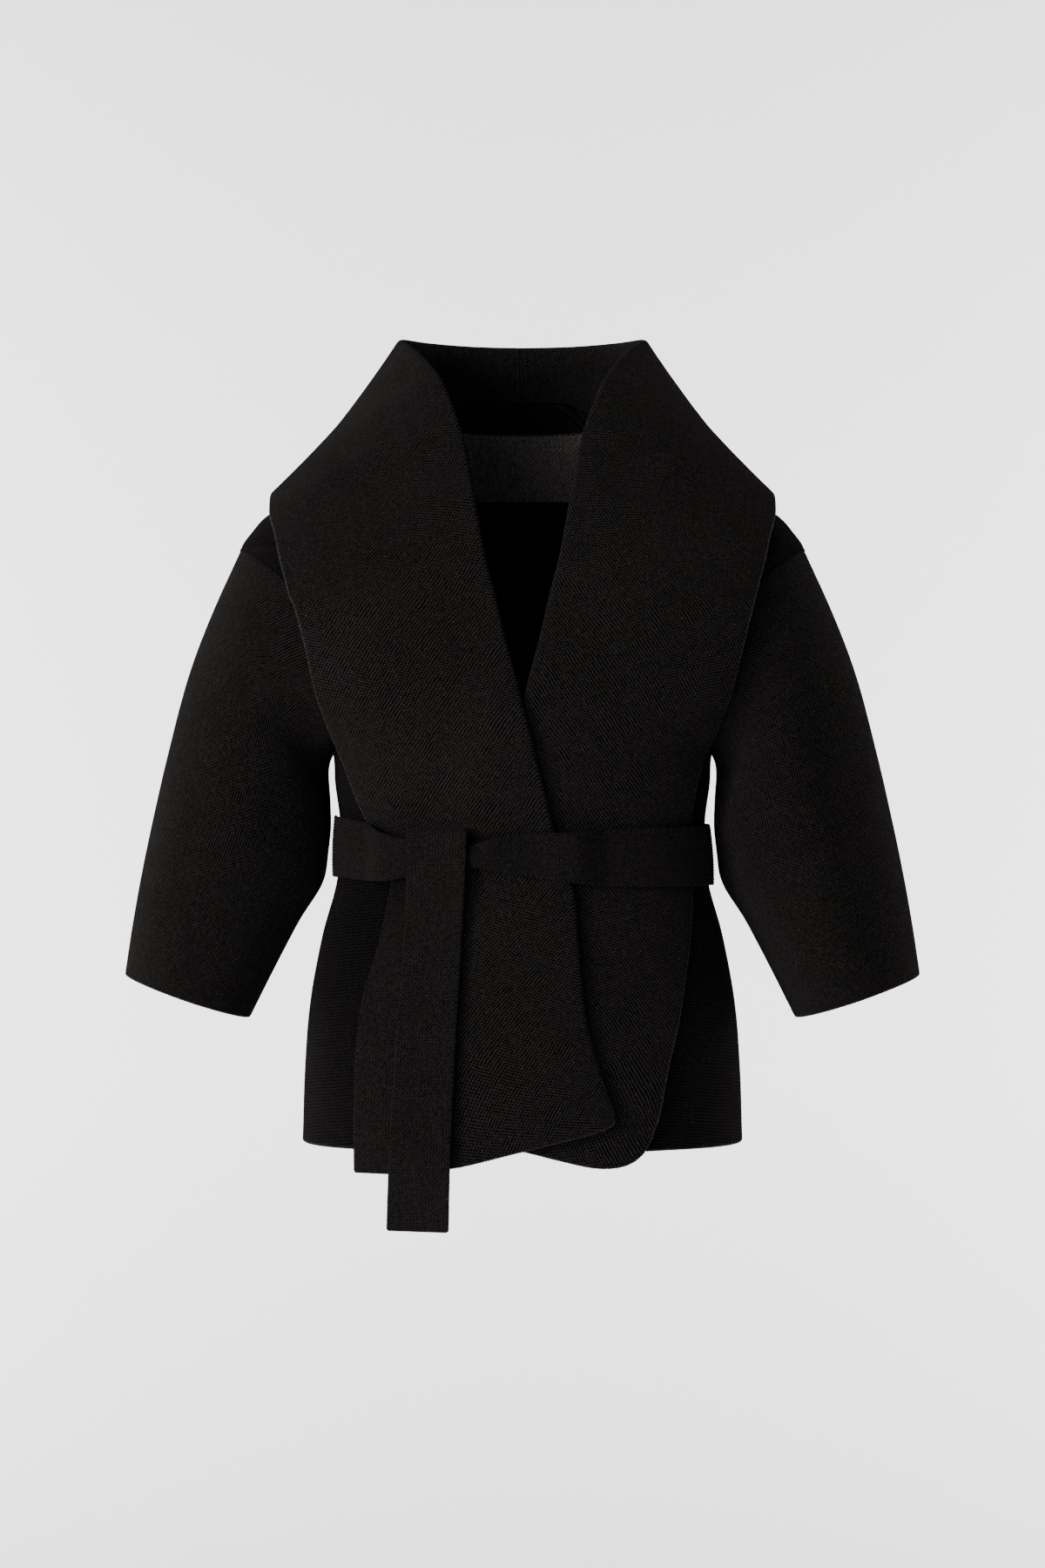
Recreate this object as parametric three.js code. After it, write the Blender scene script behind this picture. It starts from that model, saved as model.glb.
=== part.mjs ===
// Short wrap coat of heavy black knit, filled out as it is worn, hollow and open at neck, hem and cuffs.
// Millimetres, +Z up, front towards -Y, origin at the centre of the back neck seam.
// The wearer's right side is at -X. "out" below means away from the middle, on a piece's own side.

import * as THREE from 'three';

// Driving dimensions
const CLOTH = 3.5;
const SEAM_GAP = 0.3;
const BACK_NECK_GAP = 0.78;
const LAYER_GAP = 1.8;
const LAP_CLEAR = 0.6;
const HEM_Z = -703;
const UNDERARM_Z = -335;
const SHOULDER_TIP_Z = -153;
const NECK_POINT_Z = -44;
const NECK_SEAM_POWER = 4.5;
const ARMHOLE_SPREAD = 43;
const ARMHOLE_SQUARENESS = 0.75;
const COLLAR_MERGE_Z = -200;
const LAPEL_TURN = 34;
const BELT_THICK = 2.6;
const BELT_RIBS = 20;
const RIB_HEIGHT = 0.7;
const BELT_Z = -436;
const BELT_BOW = 1;

const COLOURS = { cloth: 0x131211, belt: 0x151413, band: 0x121110 };

// Body slices, to the inner face of the cloth: half width at the sides, Y of the sides, of the front middle
// and of the back middle, and the power of the oval
const BODY = {
  columns: ['z', 'halfWidth', 'sideY', 'frontY', 'backY', 'power'],
  rows: [
    [-730, 205, -104, -239, 35, 2.3],
    [-703, 203, -104, -237, 34, 2.3],
    [-640, 201, -104, -231, 30, 2.3],
    [-575, 196, -104, -223, 24, 2.3],
    [-510, 184, -104, -213, 15, 2.3],
    [-467, 172, -104, -206, 10, 2.3],
    [-436, 168, -104, -204, 8, 2.3],
    [-403, 168, -104, -208, 10, 2.3],
    [-370, 172.5, -104, -216, 15, 2.3],
    [-335, 176, -104, -224, 21, 2.3],
    [-300, 199, -105, -229, 25, 2.3],
    [-270, 224, -108, -230, 27, 2.3],
    [-235, 243, -112, -226, 28, 2.3],
    [-200, 254, -117, -219, 28, 2.3],
    [-175, 259, -121, -212, 27, 2.3],
    [-153, 260, -125, -206, 26, 2.3],
    [-136, 249, -121, -200, 25, 2.3],
    [-124, 239, -117, -196, 24, 2.3],
    [-114, 224, -111, -193, 23, 2.25],
    [-104, 205, -104, -188, 22, 2.2],
    [-90, 182, -95, -180, 19, 2.15],
    [-74, 154, -84, -173, 15, 2.1],
    [-58, 120, -70, -162, 11, 2.05],
    [-44, 92, -60, -154, 8, 2],
    [-22, 84, -52, -142, 4, 2],
    [0, 78, -46, -130, 0, 2],
  ],
};

// Lapel below the merge height: how far out the roll and the free edge lie, and how far the edge stands off.
// The wearer's right edge is drawn in under the belt
const LAPEL = {
  columns: ['z', 'roll', 'edge', 'edgeRight', 'rise'],
  rows: [
    [-720, -84, 114, 112, 0],
    [-700, -84, 114, 112, 0],
    [-668, -82.5, 123, 121, 0.8],
    [-628, -69.5, 131, 129, 1.8],
    [-587, -58.5, 141, 133, 1.5],
    [-546, -53.3, 148, 127, 0],
    [-508, -50.3, 153, 119, 0],
    [-467, -46.4, 155, 116, 0],
    [-432, -36, 153, 127, 0],
    [-407, -28.3, 153, 140, 0],
    [-370, -19.6, 159, 156, 4],
    [-331, -9.4, 171, 170, 7],
    [-280, 3.9, 189, 187, 12],
    [-240, 14.9, 200, 197, 12],
    [-200, 24, 211, 209, 9],
  ],
};

// Collar seam on the front panel: how far out it lies above the merge height
const FRONT_SEAM = {
  columns: ['z', 'out'],
  rows: [
    [-340, 27], [-300, 36], [-240, 52], [-200, 62], [-150, 74], [-100, 84], [-74, 88], [-58, 89],
    [-50, 90.5], [-44, 91.95],
  ],
};

// Upper collar, back half, by the angle from the centre back to the neck point
const COLLAR_BACK = {
  columns: ['turn', 'rollX', 'rollY', 'rollZ', 'edgeX', 'edgeY', 'edgeZ', 'bulge'],
  rows: [
    [0, 0, 13, 54, 0, 50, -128, 6],
    [30, 46, 8, 54.5, 92, 46, -126, 6],
    [60, 88, -12, 55, 170, 20, -121, 0],
    [90, 113, -38, 55, 223.5, -46, -110, -5],
  ],
};

// Upper collar, front half, by the height of its seam on the front panel
const COLLAR_FRONT = {
  columns: ['seamZ', 'rollX', 'rollY', 'rollZ', 'edgeX', 'edgeY', 'edgeZ', 'bulge'],
  rows: [
    [-44, 117, -50, 54, 231, -74, -101, -5],
    [-50, 111, -64, 48, 232.5, -90, -99, -4],
    [-58, 104, -78, 42, 233.5, -104, -97, -2],
    [-72, 90, -102, 26, 233.5, -121, -99, 3],
    [-88, 77, -125, 7, 233.5, -137, -104, 7],
    [-102, 67.5, -142, -16, 233, -151, -112, 11],
    [-113, 60, -156, -37, 232, -163, -121, 12],
    [-125, 54, -168, -58, 229, -175, -133, 11],
    [-138, 48.5, -181, -86, 225.5, -186, -146, 9],
    [-153, 41.5, -200, -120, 221.5, -196, -161, 6],
    [-175, 33.5, -214, -163, 216, -205, -182, 2],
    [-200, 24, -226, -200, 211, -210, -200, 0],
  ],
};

// Hem of a front underneath, by how far out a point lies
const FRONT_HEM = {
  columns: ['out', 'z'],
  rows: [
    [-90, -668], [-84, -670], [-70, -676.5], [-31, -687], [8, -696.5], [45, -702], [120, -700.5],
    [190, -701.5], [230, -703],
  ],
};

// Hem of the lapel by how far out a point lies, the free corner rounded
const LAPEL_HEM = {
  columns: ['out', 'z'],
  rows: [
    [-90, -673], [-84, -675], [-70, -681.5], [-31, -691.5], [8, -701], [40, -709], [60, -713.5],
    [76, -715], [90, -713.5], [102, -708.5], [110, -701], [116, -690],
  ],
};

// Sleeve sections below the armhole, outer faces: the outer point, the inner point and the depth in Y
const SLEEVE = {
  columns: ['outerX', 'outerZ', 'innerX', 'innerZ', 'middleY', 'halfDepth'],
  rows: [
    [287, -200, 182, -357, -105, 84],
    [312, -264, 180.5, -388, -104, 84],
    [332.5, -340, 180.5, -420, -104, 83],
    [347.5, -405, 186, -455, -105, 80],
    [358, -456, 210.5, -500, -106, 74],
    [366.5, -504, 235, -547, -106, 68],
    [373, -547, 255.5, -588, -106, 63],
  ],
};

// Belt ring: how wide it is by the angle from the middle of the front, towards the wearer's left
const RING_WIDTH = {
  columns: ['angle', 'width', 'drop'],
  rows: [
    [-180, 56, 0], [-120, 56, -3], [-85, 56, -8], [-70, 56, -8], [-58, 55, -6], [-48, 52.5, -3],
    [-42, 50, -0.5], [-38, 47, 1], [-34, 42, 1.5], [-30, 36.5, 1.5], [-26, 30, 1], [-20, 24.5, 0],
    [-16, 21, -1], [-12.5, 21.5, -2], [-8, 29.5, -3], [-3, 37, -3], [4, 44, -2], [12, 49, 0],
    [20, 52, 1], [35, 54, 1], [60, 55, 1], [120, 56, 0], [180, 56, 0],
  ],
};

// Belt ends: middle in X, width and height above the body cloth of the inner face, by height
const OVER_TAIL = {
  columns: ['along', 'z', 'x', 'width', 'lift'],
  rows: [
    [0, -440, -80, 34, 23.8], [14, -427, -79, 44, 23.8], [22, -419, -77.5, 52, 24.5],
    [28, -414.5, -77, 53, 27], [34, -413, -77, 53, 29.5], [41, -416, -77, 52, 34.5],
    [52, -427, -77, 52, 35.8], [70, -445, -77.5, 51, 35.4], [96, -470, -78.5, 50.5, 31],
    [126, -500, -80, 50.5, 28], [162, -535, -82, 50.5, 27.5], [207, -580, -85, 51, 27.5],
    [267, -640, -88.5, 52, 27.5], [327, -700, -91.5, 53, 27.5], [357, -730, -92.5, 53.5, 27],
    [396, -769, -93.5, 54, 25.5],
  ],
};
const UNDER_TAIL = {
  columns: ['z', 'x', 'width', 'lift'],
  rows: [
    [-452, -110, 15, 21], [-466, -109.7, 18, 21], [-490, -110.5, 26, 21.5], [-520, -113, 34, 21.5],
    [-560, -119.5, 46, 21.5], [-610, -122.5, 53, 22], [-660, -123.5, 54, 22.3],
    [-719, -123.5, 54, 22.3],
  ],
};

// Soft folds that the tied belt gathers into the cloth: where, how high and how wide
const GATHERS = {
  columns: ['turn', 'height', 'spread', 'topZ', 'bottomZ'],
  rows: [
    [28, 4.5, 5, -330, -600], [46, 5, 6, -360, -640], [67, 4, 5, -350, -560], [88, 4.5, 6, -370, -620],
  ],
};

// Reading a table at any value of its first column, with a smooth curve through the rows
function columnReader(table) {
  const rows = [...table.rows].sort((a, b) => a[0] - b[0]);
  return (value) => {
    const last = rows.length - 1;
    const clamped = Math.min(Math.max(value, rows[0][0]), rows[last][0]);
    let k = 0;
    while (k < last - 1 && rows[k + 1][0] < clamped) k += 1;
    const step = rows[k + 1][0] - rows[k][0];
    const t = (clamped - rows[k][0]) / step;
    const result = {};
    table.columns.forEach((name, c) => {
      const slope = (i) => {
        const before = rows[Math.max(i - 1, 0)];
        const after = rows[Math.min(i + 1, last)];
        return (after[c] - before[c]) / (after[0] - before[0]);
      };
      const t2 = t * t;
      const t3 = t2 * t;
      result[name] = (2 * t3 - 3 * t2 + 1) * rows[k][c] + (t3 - 2 * t2 + t) * step * slope(k)
        + (3 * t2 - 2 * t3) * rows[k + 1][c] + (t3 - t2) * step * slope(k + 1);
    });
    return result;
  };
}

const bodyAt = columnReader(BODY);
const lapelAt = columnReader(LAPEL);
const frontSeamAt = columnReader(FRONT_SEAM);
const collarBackAt = columnReader(COLLAR_BACK);
const collarFrontAt = columnReader(COLLAR_FRONT);
const lapelHemAt = columnReader(LAPEL_HEM);
const frontHemAt = columnReader(FRONT_HEM);
const ringAt = columnReader(RING_WIDTH);
const overTailAt = columnReader(OVER_TAIL);
const underTailAt = columnReader(UNDER_TAIL);

const radians = THREE.MathUtils.degToRad;
const mix = THREE.MathUtils.lerp;
const ease = THREE.MathUtils.smoothstep;

// How high the gathered folds stand; turn is explained at the body shell
const FOLD_TOP_FADE = 60;
const FOLD_BOTTOM_FADE = 110;
function gatherLift(turn, z) {
  if (turn < 0) return 0;
  let lift = 0;
  for (const [middle, height, spread, topZ, bottomZ] of GATHERS.rows) {
    const across = Math.exp(-(((turn - middle) / spread) ** 2));
    const above = ease(topZ - z, 0, FOLD_TOP_FADE);
    const below = ease(z - bottomZ, 0, FOLD_BOTTOM_FADE);
    lift += height * across * above * below;
  }
  return lift;
}

// Body shell. turn runs from -90 at the middle of the front through 0 at the side to 90 at the middle back
function shellPoint(side, turn, z) {
  const slice = bodyAt(z);
  const power = 2 / slice.power;
  const angle = radians(turn);
  const depth = turn < 0 ? slice.frontY - slice.sideY : slice.backY - slice.sideY;
  const x = slice.halfWidth * Math.max(Math.cos(angle), 0) ** power;
  const y = slice.sideY + depth * Math.abs(Math.sin(angle)) ** power;
  return new THREE.Vector3(side * x, y, z);
}

function shellNormal(side, turn, z) {
  const reach = 2;
  const limit = 89.9;
  const low = THREE.MathUtils.clamp(turn - reach, -limit, limit);
  const high = THREE.MathUtils.clamp(turn + reach, -limit, limit);
  const across = shellPoint(side, high, z).sub(shellPoint(side, low, z));
  const up = shellPoint(side, turn, z + reach).sub(shellPoint(side, turn, z - reach));
  return across.cross(up).multiplyScalar(side).normalize();
}

function liftedShell(side, turn, z, lift) {
  const normal = shellNormal(side, turn, z);
  return shellPoint(side, turn, z).addScaledVector(normal, lift + gatherLift(turn, z));
}

// The turn of a front point that lies a given way out from the middle
function frontTurn(out, z) {
  const slice = bodyAt(z);
  const share = Math.min(Math.abs(out) / slice.halfWidth, 1);
  return -THREE.MathUtils.radToDeg(Math.acos(share ** (slice.power / 2)));
}

// Past the middle of the front the turn runs on below -90, over the other side
function runningTurn(out, z) {
  return out >= 0 ? frontTurn(out, z) : -180 - frontTurn(out, z);
}

function frontShell(side, turn, z, lift) {
  return turn < -90 ? liftedShell(-side, -180 - turn, z, lift) : liftedShell(side, turn, z, lift);
}

function frontNormal(side, turn, z) {
  return turn < -90 ? shellNormal(-side, -180 - turn, z) : shellNormal(side, turn, z);
}

function outOf(side, turn, z) {
  return turn < -90 ? -shellPoint(1, -180 - turn, z).x : shellPoint(1, turn, z).x;
}

// How high the wearer's right front lies above the body where it laps over the left one
const LAP_START = 230;
const LAP_FULL = 330;
const LAP_REACH = 66;
const LAP_SLOPE = 50;
function lapLift(side, out, z) {
  if (side > 0) return 0;
  const underRoll = -lapelAt(z).roll;
  const over = 2 * (CLOTH + LAYER_GAP) + LAP_CLEAR;
  const fade = ease(-z, LAP_START, LAP_FULL);
  return over * fade * ease(underRoll + LAP_REACH - out, 0, LAP_SLOPE);
}

// Armhole, an oval on the shell: phase 0 at the shoulder tip, 90 at the front, 180 under the arm
function armholeTurn(phase) {
  const swing = Math.sin(radians(phase));
  return -ARMHOLE_SPREAD * Math.sign(swing) * Math.abs(swing) ** ARMHOLE_SQUARENESS;
}

function armholeZ(phase) {
  const middle = (UNDERARM_Z + SHOULDER_TIP_Z) / 2;
  const reach = (SHOULDER_TIP_Z - UNDERARM_Z) / 2;
  return middle + reach * Math.cos(radians(phase));
}

// Rows of the torso panels, from the hem to the neck point
const HEM_ROWS = 12;
const ARMHOLE_ROWS = 9;
const SHOULDER_HEIGHTS = [-138, -125, -113, -102, -88, -72, -58, -50, NECK_POINT_Z];
function torsoRows() {
  const rows = [];
  for (let k = 0; k < HEM_ROWS; k += 1) {
    rows.push({ z: mix(HEM_Z, UNDERARM_Z, k / HEM_ROWS), cut: 0 });
  }
  for (let k = 0; k <= ARMHOLE_ROWS; k += 1) {
    const phase = 180 - (180 * k) / ARMHOLE_ROWS;
    rows.push({ z: armholeZ(phase), cut: Math.abs(armholeTurn(phase)) });
  }
  for (const z of SHOULDER_HEIGHTS) rows.push({ z, cut: 0 });
  return rows;
}
const TORSO_ROWS = torsoRows();

// A closed wall between an inner and an outer grid of points
function wall(name, inner, outer, colour, ring = false) {
  const rows = inner.length;
  const columns = inner[0].length;
  const positions = [];
  const indices = [];
  for (const grid of [inner, outer]) {
    for (const row of grid) {
      for (const point of row) positions.push(point.x, point.y, point.z);
    }
  }
  const at = (layer, i, j) => layer * rows * columns + (i % rows) * columns + j;
  const quad = (a, b, c, d) => indices.push(a, b, c, a, c, d);
  const steps = ring ? rows : rows - 1;
  for (let i = 0; i < steps; i += 1) {
    for (let j = 0; j < columns - 1; j += 1) {
      quad(at(1, i, j), at(1, i, j + 1), at(1, i + 1, j + 1), at(1, i + 1, j));
      quad(at(0, i, j), at(0, i + 1, j), at(0, i + 1, j + 1), at(0, i, j + 1));
    }
    quad(at(0, i, 0), at(1, i, 0), at(1, i + 1, 0), at(0, i + 1, 0));
    quad(at(0, i, columns - 1), at(0, i + 1, columns - 1), at(1, i + 1, columns - 1), at(1, i, columns - 1));
  }
  if (!ring) {
    for (let j = 0; j < columns - 1; j += 1) {
      quad(at(0, 0, j), at(0, 0, j + 1), at(1, 0, j + 1), at(1, 0, j));
      quad(at(0, rows - 1, j), at(1, rows - 1, j), at(1, rows - 1, j + 1), at(0, rows - 1, j + 1));
    }
  }
  return closedMesh(name, positions, indices, colour);
}

function signedVolume(positions, indices) {
  const corner = (k) => new THREE.Vector3().fromArray(positions, 3 * indices[k]);
  let volume = 0;
  for (let k = 0; k < indices.length; k += 3) {
    volume += corner(k).dot(corner(k + 1).cross(corner(k + 2))) / 6;
  }
  return volume;
}

function closedMesh(name, positions, indices, colour) {
  if (signedVolume(positions, indices) < 0) {
    for (let k = 0; k < indices.length; k += 3) {
      [indices[k + 1], indices[k + 2]] = [indices[k + 2], indices[k + 1]];
    }
  }
  const geometry = new THREE.BufferGeometry();
  geometry.setAttribute('position', new THREE.Float32BufferAttribute(positions, 3));
  geometry.setIndex(indices);
  geometry.computeVertexNormals();
  const material = new THREE.MeshStandardMaterial({ color: colour, roughness: 0.95, metalness: 0 });
  const mesh = new THREE.Mesh(geometry, material);
  mesh.name = name;
  return mesh;
}

// Both faces of a panel whose points are given by a function of row, column and height over the shell
function panel(name, rows, columns, place, colour) {
  const inner = [];
  const outer = [];
  for (let i = 0; i < rows; i += 1) {
    inner.push([]);
    outer.push([]);
    for (let j = 0; j < columns; j += 1) {
      inner[i].push(place(i, j, 0));
      outer[i].push(place(i, j, CLOTH));
    }
  }
  return wall(name, inner, outer, colour);
}

// Back, one piece from side seam to side seam; its top row is the neck seam
const BACK_COLUMNS = 8;
const SEAM_TURN = 0.06;
const SHOULDER_SHARE = 0.9;
function neckSeamZ(turn) {
  return NECK_POINT_Z * Math.cos(radians(turn)) ** NECK_SEAM_POWER;
}
function makeBack() {
  const last = TORSO_ROWS.length - 1;
  const place = (i, j, lift) => {
    const share = (j - BACK_COLUMNS) / BACK_COLUMNS;
    const side = share < 0 ? -1 : 1;
    const row = TORSO_ROWS[i];
    const turn = mix(90, row.cut + SEAM_TURN, Math.abs(share));
    const rise = ease(i, last - SHOULDER_HEIGHTS.length, last);
    const z = mix(row.z, neckSeamZ(turn) - BACK_NECK_GAP, rise * (i === last ? 1 : SHOULDER_SHARE));
    const low = mix(row.z, z, Math.sin(radians(Math.max(turn, 0))) ** 2);
    return liftedShell(side, turn, i === last ? z : low, lift);
  };
  return panel('back', TORSO_ROWS.length, 2 * BACK_COLUMNS + 1, place, COLOURS.cloth);
}

// Where the collar joins a front panel: by its table above, a fixed way behind the roll below
const SEAM_TABLE_END = -340;
const SEAM_BLEND_END = -400;
function seamOut(z) {
  if (z > SEAM_TABLE_END) return frontSeamAt(z).out;
  const below = lapelAt(z).roll + LAPEL_TURN;
  const step = frontSeamAt(SEAM_TABLE_END).out - lapelAt(SEAM_TABLE_END).roll - LAPEL_TURN;
  return below + ease(z, SEAM_BLEND_END, SEAM_TABLE_END) * step;
}

// The turn of the collar seam, moved along the cloth by a part of the seam's gap, more near the neck point
const NECK_SHIFT = 11;
const NECK_SHIFT_FROM = -75;
const NECK_SHIFT_TO = -46;
function seamTurn(z, shift) {
  const turn = runningTurn(seamOut(z), z);
  const perDegree = frontShell(1, turn + 0.5, z, 0).distanceTo(frontShell(1, turn - 0.5, z, 0));
  const nearNeck = 1 + NECK_SHIFT * ease(z, NECK_SHIFT_FROM, NECK_SHIFT_TO);
  return turn + (shift * nearNeck) / perDegree;
}

// Near the hem a row bends to the height that the hem has there
const HEM_BEND = 110;
function bentHeight(z, hemZ) {
  return z + ease(HEM_Z + HEM_BEND - z, 0, HEM_BEND) * (hemZ - HEM_Z);
}

const FRONT_COLUMNS = 8;
function makeFront(name, side) {
  const place = (i, j, lift) => {
    const row = TORSO_ROWS[i];
    const turn = mix(seamTurn(row.z, SEAM_GAP / 2), -row.cut - SEAM_TURN, j / FRONT_COLUMNS);
    const out = outOf(side, turn, row.z);
    const z = bentHeight(row.z, frontHemAt(out).z);
    return frontShell(side, turn, z, lift + lapLift(side, out, z));
  };
  return panel(name, TORSO_ROWS.length, FRONT_COLUMNS + 1, place, COLOURS.cloth);
}

// Sleeve: the armhole, then the sections of the table, with a smooth curve through them
const SLEEVE_SIDES = 2 * ARMHOLE_ROWS;
const SLEEVE_STEPS = 2;
function sleeveSection(side, k) {
  const [outerX, outerZ, innerX, innerZ, middleY, halfDepth] = SLEEVE.rows[k];
  const points = [];
  for (let n = 0; n < SLEEVE_SIDES; n += 1) {
    const angle = radians((360 * n) / SLEEVE_SIDES);
    const along = (1 + Math.cos(angle)) / 2;
    const x = mix(innerX, outerX, along);
    const y = middleY - halfDepth * Math.sin(angle);
    points.push(new THREE.Vector3(side * x, y, mix(innerZ, outerZ, along)));
  }
  return points;
}

function armholeSection(side, lift) {
  const points = [];
  for (let n = 0; n < SLEEVE_SIDES; n += 1) {
    const phase = (360 * n) / SLEEVE_SIDES;
    points.push(liftedShell(side, armholeTurn(phase), armholeZ(phase), lift));
  }
  return points;
}

function makeSleeve(name, side) {
  const armhole = armholeSection(side, CLOTH);
  const armholeInside = armholeSection(side, 0);
  const controls = [armhole, ...SLEEVE.rows.map((row, k) => sleeveSection(side, k))];
  const outer = [];
  const curves = armhole.map((point, n) => {
    const line = controls.map((ring) => ring[n]);
    return new THREE.CatmullRomCurve3(line, false, 'centripetal');
  });
  const count = (controls.length - 1) * SLEEVE_STEPS;
  for (let i = 0; i <= count; i += 1) outer.push(curves.map((curve) => curve.getPoint(i / count)));
  const inner = outer.map((ring, i) => insetRing(outer, i, side));
  for (let n = 0; n < SLEEVE_SIDES; n += 1) {
    const away = outer[1][n].clone().sub(outer[0][n]).normalize().multiplyScalar(SEAM_GAP);
    outer[0][n] = armhole[n].clone().add(away);
    inner[0][n] = armholeInside[n].clone().add(away);
  }
  return tube(name, inner, outer, COLOURS.cloth);
}

function insetRing(rings, i, side) {
  const ring = rings[i];
  const before = rings[Math.max(i - 1, 0)];
  const after = rings[Math.min(i + 1, rings.length - 1)];
  return ring.map((point, n) => {
    const around = ring[(n + 1) % ring.length].clone().sub(ring[(n + ring.length - 1) % ring.length]);
    const along = after[n].clone().sub(before[n]);
    const normal = around.cross(along).normalize().multiplyScalar(side);
    const middle = ring.reduce((sum, p) => sum.add(p), new THREE.Vector3()).divideScalar(ring.length);
    if (normal.dot(point.clone().sub(middle)) < 0) normal.negate();
    return point.clone().addScaledVector(normal, -CLOTH);
  });
}

// A closed tube wall: rings of points, open at both ends
function tube(name, inner, outer, colour) {
  const rings = inner.length;
  const sides = inner[0].length;
  const turned = (grid) => {
    const result = [];
    for (let n = 0; n < sides; n += 1) {
      result.push([]);
      for (let i = 0; i < rings; i += 1) result[n].push(grid[i][n]);
    }
    return result;
  };
  return wall(name, turned(inner), turned(outer), colour, true);
}

// Collar half: the stand from its seam up to the roll, a small turn, then the fall out to its free edge
const STAND_STEPS = 2;
const TURN_STEPS = 4;
const FALL_STEPS = 9;
const BACK_STATIONS = BACK_COLUMNS;
const FOLD_REACH = 4;
const FOLD_GAP = CLOTH + LAYER_GAP;
const FALL_CLEAR = 6;
const FOLD_ROUNDING = 1.4;
const BLEND_START = 112;
const BLEND_END = 160;
const OUTWARD_RISE = 0.7;
const FRONT_OUTWARD = -70;

function bezier(a, b, c, d, t) {
  const s = 1 - t;
  return a.clone().multiplyScalar(s * s * s)
    .addScaledVector(b, 3 * s * s * t)
    .addScaledVector(c, 3 * s * t * t)
    .addScaledVector(d, t * t * t);
}

// Cloth of the fall is kept in front of the shoulder and chest that it lies over
function clearOfBody(side, point) {
  const out = side * point.x;
  if (out >= bodyAt(point.z).halfWidth - 1) return;
  const surface = liftedShell(side, frontTurn(Math.max(out, 0), point.z), point.z, CLOTH + FALL_CLEAR);
  point.y = Math.min(point.y, surface.y);
}

// A station of the upper collar from the seam point, roll point, edge point and the fall's outward bulge
function freeFibre(seam, roll, edge, outward, bulge) {
  const down = edge.clone().sub(roll).normalize();
  const stand = seam.clone().sub(roll).normalize();
  const across = outward.clone().addScaledVector(down, -outward.dot(down)).normalize();
  const fallStart = roll.clone().addScaledVector(down, FOLD_REACH).addScaledVector(across, FOLD_GAP / 2);
  const standEnd = roll.clone().addScaledVector(stand, FOLD_REACH).addScaledVector(across, -FOLD_GAP / 2);
  const points = [];
  for (let k = 0; k < STAND_STEPS; k += 1) points.push(seam.clone().lerp(standEnd, k / STAND_STEPS));
  points[0].facing = seam.facing;
  for (let k = 0; k <= TURN_STEPS; k += 1) {
    const b = standEnd.clone().addScaledVector(stand, -FOLD_ROUNDING * FOLD_REACH);
    const c = fallStart.clone().addScaledVector(down, -FOLD_ROUNDING * FOLD_REACH);
    points.push(bezier(standEnd, b, c, fallStart, k / TURN_STEPS));
  }
  const third = edge.clone().sub(fallStart).divideScalar(3);
  const b = fallStart.clone().add(third).addScaledVector(across, bulge);
  const c = edge.clone().sub(third).addScaledVector(across, bulge);
  for (let k = 1; k <= FALL_STEPS; k += 1) points.push(bezier(fallStart, b, c, edge, k / FALL_STEPS));
  return points;
}

// The turn at which cloth of a given lift lies a given way out, found in a few rounds
const SEARCH_ROUNDS = 5;
function placedTurn(side, out, z, lift) {
  let aim = out;
  for (let k = 0; k < SEARCH_ROUNDS; k += 1) {
    aim += out - side * frontShell(side, runningTurn(aim, z), z, lift).x;
  }
  return runningTurn(aim, z);
}

// A station of the lapel, which lies on the front: level, or tilted from the roll's height to the edge's
function lyingFibre(side, seamZ, { roll, rollZ, edge, edgeZ, rise }) {
  const seam = seamTurn(seamZ, -SEAM_GAP / 2);
  const seamPlace = outOf(side, seam, seamZ);
  const points = [];
  const add = (out, level, hem, lift, fixedTurn) => {
    const z = bentHeight(level, hem.z);
    const height = CLOTH / 2 + lift + lapLift(side, out, z);
    const turn = fixedTurn ?? placedTurn(side, out, z, height);
    points.push(frontShell(side, turn, z, height));
    return frontNormal(side, turn, z);
  };
  for (let k = 0; k < STAND_STEPS; k += 1) {
    const share = k / STAND_STEPS;
    const out = mix(seamPlace, roll + FOLD_REACH, share);
    const facing = add(out, mix(seamZ, rollZ, share), frontHemAt(out), 0, k === 0 ? seam : undefined);
    if (k === 0) points[0].facing = facing;
  }
  for (let k = 0; k <= TURN_STEPS; k += 1) {
    const angle = (Math.PI * k) / TURN_STEPS;
    const out = roll + FOLD_REACH - (FOLD_REACH - CLOTH / 2) * Math.sin(angle);
    const lift = (FOLD_GAP * (1 - Math.cos(angle))) / 2;
    add(out, rollZ, { z: mix(frontHemAt(out).z, lapelHemAt(out).z, k / TURN_STEPS) }, lift);
  }
  for (let k = 1; k <= FALL_STEPS; k += 1) {
    const share = k / FALL_STEPS;
    const out = mix(roll + FOLD_REACH, edge, share);
    const lift = FOLD_GAP + rise * share * share;
    const facing = add(out, mix(rollZ, edgeZ, share), lapelHemAt(out), lift);
    points.at(-1).facing = facing;
  }
  return points;
}

// Roll and free edge of the lapel at a level, read at the height to which the hem bends them
function lapelLines(side, level) {
  const edgeName = side < 0 ? 'edgeRight' : 'edge';
  const own = lapelAt(level);
  const rollHeight = bentHeight(level, lapelHemAt(own.roll).z);
  const edgeHeight = bentHeight(level, lapelHemAt(own[edgeName]).z);
  return {
    roll: lapelAt(rollHeight).roll,
    rollZ: level,
    edge: lapelAt(edgeHeight)[edgeName],
    edgeZ: level,
    rise: own.rise,
  };
}

function outwardOf(side, turn) {
  const angle = radians(turn);
  return new THREE.Vector3(side * Math.cos(angle), Math.sin(angle), OUTWARD_RISE).normalize();
}

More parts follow.
